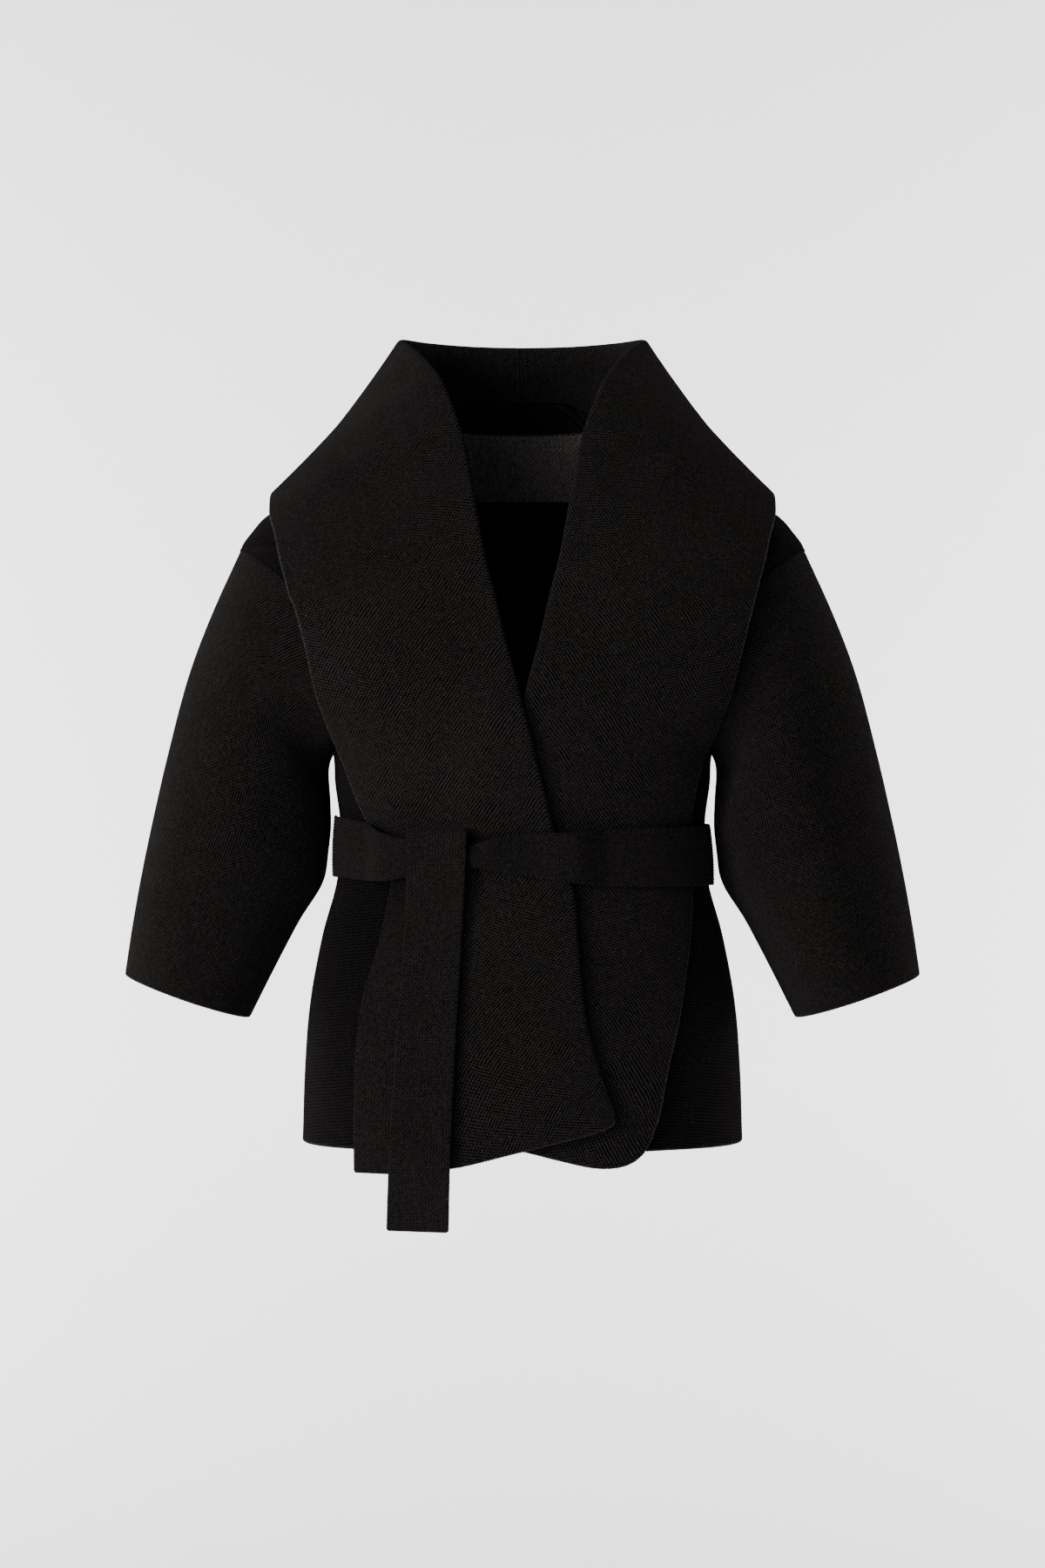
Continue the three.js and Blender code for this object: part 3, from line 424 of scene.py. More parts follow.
def beaded_cord(name, path, radius, pitch, material):
    """The edge of the knit: a thin cord along a line of points, with one bead for each stitch."""
    lengths = [0.0]
    for a, b in zip(path, path[1:]):
        lengths.append(lengths[-1] + (b - a).length)
    total = lengths[-1]
    count = max(round(total / pitch), 1) * BEAD_POINTS
    centres = []
    k = 0
    for n in range(count + 1):
        s = total * n / count
        while k < len(lengths) - 2 and lengths[k + 1] < s:
            k += 1
        share = (s - lengths[k]) / max(lengths[k + 1] - lengths[k], 1e-6)
        centres.append(mix(path[k], path[k + 1], share))
    points, faces, corners = [], [], []
    for n, centre in enumerate(centres):
        tangent = centres[min(n + 1, count)] - centres[max(n - 1, 0)]
        tangent.normalize()
        first = CORD_GUIDE - tangent * CORD_GUIDE.dot(tangent)
        first.normalize()
        second = tangent.cross(first)
        bead = BEAD_DEPTH * math.cos(2 * math.pi / BEAD_POINTS * n)
        uneven = CORD_UNEVEN * noise.noise(Vector((n * CORD_UNEVEN_STEP, total, 0)))
        size = radius * (1 + bead + uneven)
        if n in (0, count):
            size *= 0.5
        for around in range(CORD_SIDES):
            angle = 2 * math.pi * around / CORD_SIDES
            points.append(centre + first * (size * math.cos(angle)) + second * (size * math.sin(angle)))
    for n in range(count):
        v0, v1 = total * n / count * MM, total * (n + 1) / count * MM
        for around in range(CORD_SIDES):
            a = n * CORD_SIDES + around
            b = n * CORD_SIDES + (around + 1) % CORD_SIDES
            faces.append([a, b, b + CORD_SIDES, a + CORD_SIDES])
            u0, u1 = around * CORD_UV_STEP, (around + 1) * CORD_UV_STEP
            corners.append([(u0, v0), (u1, v0), (u1, v1), (u0, v1)])
    for start, order in ((0, 1), (count * CORD_SIDES, -1)):
        cap = [start + around for around in range(CORD_SIDES)]
        faces.append(cap[::-order])
        corners.append([(0.0, 0.0)] * CORD_SIDES)
    return mesh_object(name, points, faces, corners, material)


# Torso panels
SEAM_TURN = 0.06
SHOULDER_SHARE = 0.9
BACK_COLUMNS = 8
FRONT_COLUMNS = 8


def neck_seam_z(turn):
    return NECK_POINT_Z * math.cos(math.radians(turn)) ** NECK_SEAM_POWER


def back_place(r, share, lift):
    side = -1 if share < 0 else 1
    row_z, cut = torso_row(r)
    turn = mix(90, cut + SEAM_TURN, abs(share))
    seam_z = neck_seam_z(turn) - BACK_NECK_GAP
    rise = ease(r, LAST_ROW - len(SHOULDER_HEIGHTS), LAST_ROW)
    low = mix(row_z, mix(row_z, seam_z, rise * SHOULDER_SHARE), math.sin(math.radians(max(turn, 0))) ** 2)
    last_step = max(r - (LAST_ROW - 1), 0)
    return lifted_shell(side, turn, mix(low, seam_z, last_step), lift)


SEAM_TABLE_END = -340
SEAM_BLEND_END = -400
NECK_SHIFT, NECK_SHIFT_FROM, NECK_SHIFT_TO = 11, -75, -46


@functools.lru_cache(maxsize=None)
def seam_out(z):
    if z > SEAM_TABLE_END:
        return front_seam_at(z)[1]
    step = front_seam_at(SEAM_TABLE_END)[1] - lapel_at(SEAM_TABLE_END)[1] - LAPEL_TURN
    return lapel_at(z)[1] + LAPEL_TURN + ease(z, SEAM_BLEND_END, SEAM_TABLE_END) * step


@functools.lru_cache(maxsize=None)
def seam_turn(z, shift):
    turn = running_turn(seam_out(z), z)
    per_degree = (front_shell(1, turn + 0.5, z, 0) - front_shell(1, turn - 0.5, z, 0)).length
    return turn + shift * (1 + NECK_SHIFT * ease(z, NECK_SHIFT_FROM, NECK_SHIFT_TO)) / per_degree


def front_place(side, r, share, lift):
    row_z, cut = torso_row(r)
    turn = mix(seam_turn(row_z, SEAM_GAP / 2), -cut - SEAM_TURN, share)
    out = out_of(turn, row_z)
    z = bent_height(row_z, front_hem_at(out)[1])
    return front_shell(side, turn, z, lift + lap_lift(side, out, z))


def panel_grids(place, shares):
    grids = []
    for lift in (0, CLOTH):
        grids.append([[place(k / FINE, share, lift) for share in shares] for k in range(LAST_ROW * FINE + 1)])
    return grids


# Sleeves
SLEEVE_STEPS = 2
SLEEVE_SIDES = 2 * ARMHOLE_ROWS * FINE


def sleeve_section(side, row):
    outer_x, outer_z, inner_x, inner_z, middle_y, half_depth = row
    points = []
    for n in range(SLEEVE_SIDES):
        angle = 2 * math.pi * n / SLEEVE_SIDES
        along = (1 + math.cos(angle)) / 2
        y = middle_y - half_depth * math.sin(angle)
        points.append(Vector((side * mix(inner_x, outer_x, along), y, mix(inner_z, outer_z, along))))
    return points


def armhole_section(side, lift):
    step = 360 / SLEEVE_SIDES
    phases = [n * step for n in range(SLEEVE_SIDES)]
    return [lifted_shell(side, armhole_turn(phase), armhole_z(phase), lift) for phase in phases]


def curve_point(points, t):
    """A point of the smooth curve through the points, at a share t of its steps."""
    last = len(points) - 1
    place = t * last
    k = min(int(place), last - 1)
    w = place - k
    p1, p2 = points[k], points[k + 1]
    p0 = points[k - 1] if k > 0 else p1 * 2 - p2
    p3 = points[k + 2] if k + 2 <= last else p2 * 2 - p1
    d0, d1, d2 = (max((b - a).length, 1e-4) ** 0.5 for a, b in ((p0, p1), (p1, p2), (p2, p3)))
    m1 = ((p1 - p0) / d0 - (p2 - p0) / (d0 + d1) + (p2 - p1) / d1) * d1
    m2 = ((p2 - p1) / d1 - (p3 - p1) / (d1 + d2) + (p3 - p2) / d2) * d1
    return (p1 * (2 * w ** 3 - 3 * w * w + 1) + m1 * (w ** 3 - 2 * w * w + w)
            + p2 * (3 * w * w - 2 * w ** 3) + m2 * (w ** 3 - w * w))


def ring_normals(rings, i):
    ring = rings[i]
    before, after = rings[max(i - 1, 0)], rings[min(i + 1, len(rings) - 1)]
    middle = sum(ring, Vector()) / len(ring)
    normals = []
    for n, point in enumerate(ring):
        around = ring[(n + 1) % len(ring)] - ring[n - 1]
        normal = around.cross(after[n] - before[n])
        normal.normalize()
        normals.append(-normal if normal.dot(point - middle) < 0 else normal)
    return normals


# Soft folds of a sleeve: phase round the arm, share down the sleeve, height, spread in phase and in share
SLEEVE_FOLDS = [
    [150, 0.42, 3.2, 22, 0.10], [205, 0.50, -2.6, 26, 0.09], [165, 0.60, 2.8, 24, 0.07],
    [95, 0.55, 2.2, 16, 0.26], [62, 0.62, -1.8, 14, 0.30], [265, 0.58, 2.4, 18, 0.24],
    [300, 0.50, -2.0, 16, 0.26], [35, 0.35, 1.6, 18, 0.22],
]


def sleeve_fold(phase, share):
    lift = 0.0
    for middle, down, height, spread, reach in SLEEVE_FOLDS:
        away = (phase - middle + 180) % 360 - 180
        lift += height * math.exp(-((away / spread) ** 2) - ((share - down) / reach) ** 2)
    return lift


def make_sleeve(name, side, material):
    armhole = armhole_section(side, CLOTH)
    inside = armhole_section(side, 0)
    controls = [armhole] + [sleeve_section(side, row) for row in SLEEVE]
    count = (len(controls) - 1) * SLEEVE_STEPS * FINE
    lines = [[ring[n] for ring in controls] for n in range(SLEEVE_SIDES)]
    outer = [[curve_point(line, i / count) for line in lines] for i in range(count + 1)]
    normals = [ring_normals(outer, i) for i in range(count + 1)]
    for i in range(count + 1):
        for n in range(SLEEVE_SIDES):
            outer[i][n] = outer[i][n] + normals[i][n] * sleeve_fold(360 * n / SLEEVE_SIDES, i / count)
    normals = [ring_normals(outer, i) for i in range(count + 1)]
    inner = [[p - m * CLOTH for p, m in zip(*pair)] for pair in zip(outer, normals)]
    for n in range(SLEEVE_SIDES):
        away = outer[1][n] - outer[0][n]
        away.normalize()
        base_out, base_in = armhole[n] + away * SEAM_GAP, inside[n] + away * SEAM_GAP
        outer[0][n], inner[0][n] = base_out, base_in
        for i in range(1, FINE):
            straight = mix(base_in, inner[FINE][n], i / FINE)
            inner[i][n] = mix(straight, inner[i][n], ease(i, 0, FINE))
    obj = closed_wall(name, transposed(inner), transposed(outer), material, ring=True)
    EXTRA[name + "_cuff"] = [mix(a, b, 0.5) for a, b in zip(inner[-1], outer[-1])]
    return obj


# Collar
FINE_STAND, FINE_TURN, FINE_FALL = 6, 8, 27
BACK_STATIONS = BACK_COLUMNS
FOLD_REACH = 4
FOLD_GAP = CLOTH + LAYER_GAP
FALL_CLEAR = 6
FOLD_ROUNDING = 1.4
BLEND_START, BLEND_END = 112, 160
OUTWARD_RISE = 0.7
FRONT_OUTWARD = -70
SEARCH_ROUNDS = 5


def bezier(a, b, c, d, t):
    s = 1 - t
    return a * (s * s * s) + b * (3 * s * s * t) + c * (3 * s * t * t) + d * (t * t * t)


def unit(vector):
    result = vector.copy()
    result.normalize()
    return result


def clear_of_body(side, point):
    out = side * point.x
    if out >= body_at(point.z)[1] - 1:
        return
    surface = lifted_shell(side, front_turn(max(out, 0), point.z), point.z, CLOTH + FALL_CLEAR)
    point.y = min(point.y, surface.y)


def fibre_shares():
    """Shares along the stand, round the turn and down the fall."""
    stand = [k / FINE_STAND for k in range(FINE_STAND)]
    turn = [k / FINE_TURN for k in range(FINE_TURN + 1)]
    fall = [k / FINE_FALL for k in range(1, FINE_FALL + 1)]
    return stand, turn, fall


def free_fibre(seam, roll, edge, outward, bulge):
    down, stand = unit(edge - roll), unit(seam - roll)
    across = unit(outward - down * outward.dot(down))
    fall_start = roll + down * FOLD_REACH + across * (FOLD_GAP / 2)
    stand_end = roll + stand * FOLD_REACH - across * (FOLD_GAP / 2)
    stands, turns, falls = fibre_shares()
    points = [mix(seam, stand_end, share) for share in stands]
    b = stand_end - stand * (FOLD_ROUNDING * FOLD_REACH)
    c = fall_start - down * (FOLD_ROUNDING * FOLD_REACH)
    points += [bezier(stand_end, b, c, fall_start, t) for t in turns]
    third = (edge - fall_start) / 3
    b = fall_start + third + across * bulge
    c = edge - third + across * bulge
    points += [bezier(fall_start, b, c, edge, t) for t in falls]
    return points


def placed_turn(side, out, z, lift):
    """The turn at which cloth of a given lift lies a given way out, found in a few rounds."""
    aim = out
    for _ in range(SEARCH_ROUNDS):
        aim += out - side * front_shell(side, running_turn(aim, z), z, lift).x
    return running_turn(aim, z)


def lying_fibre(side, seam_z, roll, roll_z, edge, edge_z, rise):
    seam = seam_turn(seam_z, -SEAM_GAP / 2)
    seam_place = out_of(seam, seam_z)
    points, facings = [], []

    def add(out, level, hem_z, lift, keep, turn=None):
        z = bent_height(level, hem_z)
        height = CLOTH / 2 + lift + lap_lift(side, out, z)
        if turn is None:
            turn = placed_turn(side, out, z, height)
        points.append(front_shell(side, turn, z, height))
        facings.append(front_normal(side, turn, z) if keep else None)

    stands, turns, falls = fibre_shares()
    for k, share in enumerate(stands):
        out = mix(seam_place, roll + FOLD_REACH, share)
        add(out, mix(seam_z, roll_z, share), front_hem_at(out)[1], 0, k == 0, seam if k == 0 else None)
    for share in turns:
        angle = math.pi * share
        out = roll + FOLD_REACH - (FOLD_REACH - CLOTH / 2) * math.sin(angle)
        hem_z = mix(front_hem_at(out)[1], lapel_hem_at(out)[1], share)
        add(out, roll_z, hem_z, FOLD_GAP * (1 - math.cos(angle)) / 2, False)
    for share in falls:
        out = mix(roll + FOLD_REACH, edge, share)
        add(out, mix(roll_z, edge_z, share), lapel_hem_at(out)[1], FOLD_GAP + rise * share * share, True)
    return points, facings


def lapel_lines(side, level):
    """Roll, edge and rise of the lapel at a level, read at the height to which the hem bends them."""
    edge_column = 3 if side < 0 else 2
    own = lapel_at(level)
    roll_height = bent_height(level, lapel_hem_at(own[1])[1])
    edge_height = bent_height(level, lapel_hem_at(own[edge_column])[1])
    return lapel_at(roll_height)[1], lapel_at(edge_height)[edge_column], own[4]


def outward_of(side, turn):
    angle = math.radians(turn)
    return unit(Vector((side * math.cos(angle), math.sin(angle), OUTWARD_RISE)))


def collar_stations(side):
    """Middle line of the collar at each station, and the way the body faces where the cloth lies on it."""
    stations, facings = [], []
    empty = FINE_STAND + FINE_TURN + FINE_FALL
    for k in range(BACK_STATIONS * FINE + 1):
        turn = mix(90, SEAM_TURN, k / (BACK_STATIONS * FINE))
        _, roll_x, roll_y, roll_z, edge_x, edge_y, edge_z, bulge = collar_back_at(90 - turn)
        seam_z = neck_seam_z(turn)
        seam = lifted_shell(side, turn, seam_z + 2 * SEAM_GAP, CLOTH / 2)
        roll = Vector((side * roll_x, roll_y, roll_z))
        edge = Vector((side * edge_x, edge_y, edge_z))
        stations.append(free_fibre(seam, roll, edge, outward_of(side, turn), bulge))
        facings.append([shell_frame(side, turn, seam_z)[1]] + [None] * empty)
    for k in range(1, LAST_ROW * FINE + 1):
        z = torso_row(LAST_ROW - k / FINE)[0]
        if z <= COLLAR_MERGE_Z:
            roll_out, edge_out, rise = lapel_lines(side, z)
            points, facing = lying_fibre(side, z, roll_out, z, edge_out, z, rise)
            stations.append(points)
            facings.append(facing)
            continue
        _, roll_x, roll_y, roll_z, edge_x, edge_y, edge_z, bulge = collar_front_at(z)
        turn = seam_turn(z, -SEAM_GAP / 2)
        seam = front_shell(side, turn, z, CLOTH / 2)
        roll = Vector((side * roll_x, roll_y, roll_z))
        edge = Vector((side * edge_x, edge_y, edge_z))
        free = free_fibre(seam, roll, edge, outward_of(side, mix(turn, FRONT_OUTWARD, 0.5)), bulge)
        lying, facing = lying_fibre(side, z, roll_x, roll_z, edge_x, edge_z, lapel_at(z)[4])
        for point in free[FINE_STAND + FINE_TURN + 1:]:
            clear_of_body(side, point)
        blend = ease(-z, BLEND_START, BLEND_END)
        stations.append([mix(a, b, blend) for a, b in zip(free, lying)])
        kept = [front_normal(side, turn, z)] + (facing[1:] if blend == 1 else [None] * empty)
        facings.append(kept)
    return stations, facings


def thickened(middle, facings, thickness):
    """Inner and outer faces of the collar: square to the cloth, or as the body under it faces."""
    rows, columns = len(middle), len(middle[0])

    def square(i, j):
        along = middle[min(i + 1, rows - 1)][j] - middle[max(i - 1, 0)][j]
        across = middle[i][min(j + 1, columns - 1)] - middle[i][max(j - 1, 0)]
        return unit(along.cross(across))

    turned = math.copysign(1, square(rows - 2, columns - 2).dot(facings[rows - 2][columns - 2]))
    normals = []
    for i in range(rows):
        normals.append([])
        for j in range(columns):
            facing = facings[i][j]
            sense = -turned if j < FINE_STAND else turned
            normals[i].append(facing * sense if facing is not None else square(i, j))
    smooth = [[unit(soft_normal(normals, i, j)) for j in range(columns)] for i in range(rows)]
    grids = []
    for amount in (-thickness / 2, thickness / 2):
        grids.append([[p + n * amount for p, n in zip(*pair)] for pair in zip(middle, smooth)])
    return grids


def soft_normal(normals, i, j):
    total = normals[i][j] * 2
    if 0 < i < len(normals) - 1:
        total = total + normals[i - 1][j] + normals[i + 1][j]
    return total


SEAM_LAP = 0.5


def make_collar(name, side, material):
    stations, facings = collar_stations(side)
    inner, outer = thickened(stations, facings, CLOTH)
    for grid in (inner, outer):
        for point in grid[0]:
            point.x = -side * SEAM_LAP
    shown = FINE_STAND + FINE_TURN // 2
    EXTRA[name + "_edge"] = [row[-1] for row in stations]
    EXTRA[name + "_hem"] = stations[-1][shown:]
    faces = zip(inner[1][:shown], outer[1][:shown])
    EXTRA[name + "_back_seam"] = [min(pair, key=lambda point: point.y) for pair in faces]
    return closed_wall(name, inner, outer, material)


# Ribbed belt and band
RIB_SAMPLES = 6
RIB_ROUNDNESS = 0.7
EDGE_DROP, EDGE_SHARP = 0.9, 90
CORD_HEIGHT = BELT_THICK * 0.6
TAIL_END_POINTS = 20


def rib_wave(share, ribs):
    return RIB_HEIGHT * (0.5 - 0.5 * math.cos(2 * math.pi * ribs * share)) ** RIB_ROUNDNESS


def ribbed_strip(name, stations, material, ring=False):
    """stations: start, end, normal, bow. Ribs run along the strip on its outer face."""
    columns = BELT_RIBS * RIB_SAMPLES
    inner, outer = [], []
    for start, end, normal, bow in stations:
        inner.append([mix(start, end, share) for share in (k / columns for k in range(columns + 1))])
        face = []
        for k in range(columns + 1):
            share = k / columns
            height = BELT_THICK + rib_wave(share, BELT_RIBS) + bow * math.sin(math.pi * share)
            height -= EDGE_DROP * (math.exp(-share * EDGE_SHARP) + math.exp((share - 1) * EDGE_SHARP))
            face.append(mix(start, end, share) + normal * height)
        outer.append(face)
    return closed_wall(name, inner, outer, material, ring=ring, rims=False, levels=0)


RING_STEPS = 320
KNOT_LIFT = 28.8
BELT_CLEAR = 2.2
OVERLAP_RIGHT, OVERLAP_LEFT = (14, 40), (12, 24)
LAPEL_END = (70, 84)
KNOT_RIGHT, KNOT_LEFT = (-52, -39), (-9, 4)


def layers_under(angle):
    both = 4 * CLOTH + 3 * LAYER_GAP + LAP_CLEAR
    one = 2 * CLOTH + LAYER_GAP
    overlap = 1 - ease(-angle, *OVERLAP_RIGHT) - ease(angle, *OVERLAP_LEFT)
    return mix(mix(one, both, overlap), CLOTH, ease(abs(angle), *LAPEL_END))


def ring_point(angle, z, lift):
    return lifted_shell(-1 if angle < 0 else 1, abs(angle) - 90, z, lift)


def make_belt_ring(material):
    stations = []
    for k in range(RING_STEPS):
        angle = -180 + 360 * (k + 0.5) / RING_STEPS
        _, width, drop = ring_at(angle)
        knot = ease(angle, *KNOT_RIGHT) * (1 - ease(angle, *KNOT_LEFT))
        lift = mix(layers_under(angle) + BELT_CLEAR, KNOT_LIFT, knot)
        top = ring_point(angle, BELT_Z + width / 2 - drop, lift)
        bottom = ring_point(angle, BELT_Z - width / 2 - drop, lift)
        normal = shell_frame(-1 if angle < 0 else 1, abs(angle) - 90, BELT_Z)[1].copy()
        normal.z = 0
        stations.append((bottom, top, unit(normal), BELT_BOW))
    EXTRA["belt_waist_low"] = [s[0] + s[2] * CORD_HEIGHT for s in stations + stations[:1]]
    EXTRA["belt_waist_top"] = [s[1] + s[2] * CORD_HEIGHT for s in stations + stations[:1]]
    return ribbed_strip("belt_waist_knit", stations, material, ring=True)


def tail_station(z, x, width, lift):
    shell_z = max(z, HEM_Z)
    ends = []
    for place in (x - width / 2, x + width / 2):
        side = -1 if place < 0 else 1
        turn = placed_turn(side, abs(place), shell_z, lift)
        ends.append(Vector((place, front_shell(side, turn, shell_z, lift).y, z)))
    start, end = ends
    normal = unit((end - start).cross(Vector((0, 0, -1))))
    if normal.y > 0:
        normal = -normal
    return [start, end, normal, 0.0]


TAIL_STEP = 4
TURNED_STEP = 1.3
TURNED_LENGTH = 70


def make_under_tail(material):
    top, bottom = UNDER_TAIL[0][0], UNDER_TAIL[-1][0]
    count = round((top - bottom) / TAIL_STEP)
    stations = [tail_station(*under_tail_at(mix(top, bottom, k / count))) for k in range(count + 1)]
    keep_tail_edges("belt_under_tail", stations)
    return ribbed_strip("belt_under_tail_knit", stations, material)


def keep_tail_edges(name, stations):
    for key, which in (("_left", 0), ("_right", 1)):
        EXTRA[name + key] = [s[which] + s[2] * CORD_HEIGHT for s in stations]
    last = stations[-1]
    shares = [k / TAIL_END_POINTS for k in range(TAIL_END_POINTS + 1)]
    EXTRA[name + "_end"] = [mix(last[0], last[1], share) + last[2] * CORD_HEIGHT for share in shares]


def make_over_tail(material):
    length = OVER_TAIL[-1][0]
    places = [k * TURNED_STEP for k in range(int(TURNED_LENGTH / TURNED_STEP) + 1)]
    count = round((length - TURNED_LENGTH) / TAIL_STEP)
    places += [mix(TURNED_LENGTH, length, k / count) for k in range(1, count + 1)]
    stations = [tail_station(*over_tail_at(along)[1:]) for along in places]
    for k, station in enumerate(stations):
        before, after = stations[max(k - 1, 0)], stations[min(k + 1, len(stations) - 1)]
        station[2] = unit((after[0] - before[0]).cross(station[1] - station[0]))
    keep_tail_edges("belt_over_tail", stations)
    return ribbed_strip("belt_over_tail_knit", stations, material)


BAND_TOP, BAND_BOTTOM, BAND_HALF_WIDTH = -31, -93, 64
BAND_RIBS, BAND_ROWS = 49, 16
BAND_BACK, BAND_FACE = -3, -5.2


def make_neck_band(material):
    def place(x, z, lift):
        return lifted_shell(-1 if x < 0 else 1, -front_turn(x, z), z, lift)

    count = BAND_RIBS * RIB_SAMPLES
    inner, outer = [], []
    for k in range(count + 1):
        x = mix(-BAND_HALF_WIDTH, BAND_HALF_WIDTH, k / count)
        crest = rib_wave(k / count, BAND_RIBS)
        heights = [mix(BAND_TOP, BAND_BOTTOM - 0.8 * crest, n / BAND_ROWS) for n in range(BAND_ROWS + 1)]
        inner.append([place(x, z, BAND_FACE - crest) for z in heights])
        outer.append([place(x, z, BAND_BACK) for z in heights])
    EXTRA["neck_band_top"] = [mix(a[0], b[0], 0.5) for a, b in zip(inner, outer)]
    return closed_wall("neck_band_cloth", inner, outer, material, rims=False, levels=0)


# Materials
def new_material(name):
    material = bpy.data.materials.new(name)
    material.use_nodes = True
    return material, material.node_tree


def math_node(tree, operation, a, b=None, c=None):
    node = tree.nodes.new("ShaderNodeMath")
    node.operation = operation
    for socket, value in zip(node.inputs, (a, b, c)):
        if value is None:
            continue
        if isinstance(value, (int, float)):
            socket.default_value = value
        else:
            tree.links.new(value, socket)
    return node.outputs[0]


def ramp_mix(tree, factor, low, high):
    node = tree.nodes.new("ShaderNodeMix")
    node.data_type = "RGBA"
    tree.links.new(factor, node.inputs["Factor"])
    node.inputs["A"].default_value = (*low, 1)
    node.inputs["B"].default_value = (*high, 1)
    return node.outputs["Result"]


# Painted shade: how dark the collar's stand is painted where it turns in, standing for the shade inside the
# collar.
STAND_PAINTED_SHADE = 0.6


# Noise scales of the knit, in cycles over a metre
WANDER_SCALE, DRIFT_SCALE, UNEVEN_SCALE = 110, 26, 460
PATCH_SCALE, BALANCE_SCALE, FUZZ_SCALE = 9, 55, 1500
NOISE_ROUGHNESS = 0.6
# How far the lines wander, in metres, and how much the wool and its fuzz lift the surface
WANDER_SIZE, DRIFT_SIZE = 0.0011, 0.0025
UNEVEN_LIFT, FUZZ_LIFT = 1.3, 0.35
BUMP_DISTANCE = 0.0011
KNIT_ROUGHNESS = 0.92
SHEEN_ROUGHNESS, SHEEN_TINT = 0.5, (0.5, 0.47, 0.45, 1)


def knit_material(name, low, high, waves, depth=1.0, sheen=0.03, stand=None):
    """Heavy knit from the cloth's own lengths. waves: two of pitch in mm, angle from u in degrees, strength.
    stand: the u at which the cloth turns in, and the one from which on the colour is darkest, a painted shade
    inside the collar's stand."""
    material, tree = new_material(name)
    nodes, links = tree.nodes, tree.links
    shader = nodes["Principled BSDF"]
    uv = nodes.new("ShaderNodeUVMap")
    uv.uv_map = "cloth"
    split = nodes.new("ShaderNodeSeparateXYZ")
    links.new(uv.outputs[0], split.inputs[0])
    place = nodes.new("ShaderNodeTexCoord").outputs["Object"]

    def noise_of(scale, detail, vector):
        node = nodes.new("ShaderNodeTexNoise")
        node.inputs["Scale"].default_value = scale
        node.inputs["Detail"].default_value = detail
        node.inputs["Roughness"].default_value = NOISE_ROUGHNESS
        links.new(vector, node.inputs["Vector"])
        return node.outputs["Fac"]

    wander = noise_of(WANDER_SCALE, 2, place)
    drift = noise_of(DRIFT_SCALE, 1, place)
    uneven = noise_of(UNEVEN_SCALE, 2, place)
    patches = noise_of(PATCH_SCALE, 3, place)
    balance = noise_of(BALANCE_SCALE, 1, place)
    fuzz = noise_of(FUZZ_SCALE, 2, place)
    drifted = math_node(tree, "MULTIPLY", drift, DRIFT_SIZE)
    shift = math_node(tree, "MULTIPLY_ADD", wander, WANDER_SIZE, drifted)
    u = math_node(tree, "ADD", split.outputs[0], shift)
    v = math_node(tree, "SUBTRACT", split.outputs[1], shift)
    lines = []
    for pitch, angle, strength in waves:
        turned = 2 * math.pi / (pitch * MM)
        phase = math_node(tree, "MULTIPLY_ADD", u, turned * math.cos(math.radians(angle)),
                          math_node(tree, "MULTIPLY", v, turned * math.sin(math.radians(angle))))
        lines.append(math_node(tree, "MULTIPLY", math_node(tree, "COSINE", phase), strength))
    sway = math_node(tree, "MULTIPLY_ADD", balance, 1.4, -0.2)
    swayed = nodes.new("ShaderNodeClamp")
    links.new(sway, swayed.inputs[0])
    rest = math_node(tree, "SUBTRACT", 1.0, swayed.outputs[0])
    second = math_node(tree, "MULTIPLY", lines[1], rest)
    stitch = math_node(tree, "MULTIPLY_ADD", lines[0], swayed.outputs[0], second)
    height = math_node(tree, "MULTIPLY_ADD", stitch, 0.5, 0.5)
    height = math_node(tree, "MULTIPLY_ADD", math_node(tree, "SUBTRACT", uneven, 0.5), UNEVEN_LIFT, height)
    bumped = math_node(tree, "MULTIPLY_ADD", fuzz, FUZZ_LIFT, height)
    bump = nodes.new("ShaderNodeBump")
    bump.inputs["Strength"].default_value = depth
    bump.inputs["Distance"].default_value = BUMP_DISTANCE
    links.new(bumped, bump.inputs["Height"])
    links.new(bump.outputs[0], shader.inputs["Normal"])
    # Painted shade and highlight: the base colour follows the stitch height, dark in the valleys between
    # stitches and light on their crests. The patches add the wool's own uneven tone.
    shade = math_node(tree, "MULTIPLY_ADD", patches, 0.3, -0.15)
    shaded_tone = math_node(tree, "ADD", math_node(tree, "MULTIPLY_ADD", height, 1.3, -0.15), shade)
    # Painted shade: the colour darkens towards the collar's stand, on the inside of the collar.
    if stand:
        painted_stand_shade = nodes.new("ShaderNodeMapRange")
        links.new(split.outputs[0], painted_stand_shade.inputs["Value"])
        ends = {"From Min": stand[1], "From Max": stand[0], "To Min": STAND_PAINTED_SHADE, "To Max": 1.0}
        for key, value in ends.items():
            painted_stand_shade.inputs[key].default_value = value
        shaded_tone = math_node(tree, "MULTIPLY", shaded_tone, painted_stand_shade.outputs["Result"])
    clamp = nodes.new("ShaderNodeClamp")
    links.new(shaded_tone, clamp.inputs[0])
    links.new(ramp_mix(tree, clamp.outputs[0], low, high), shader.inputs["Base Color"])
    shader.inputs["Roughness"].default_value = KNIT_ROUGHNESS
    shader.inputs["Specular IOR Level"].default_value = 0.0
    shader.inputs["Sheen Weight"].default_value = sheen
    shader.inputs["Sheen Roughness"].default_value = SHEEN_ROUGHNESS
    shader.inputs["Sheen Tint"].default_value = SHEEN_TINT
    return material
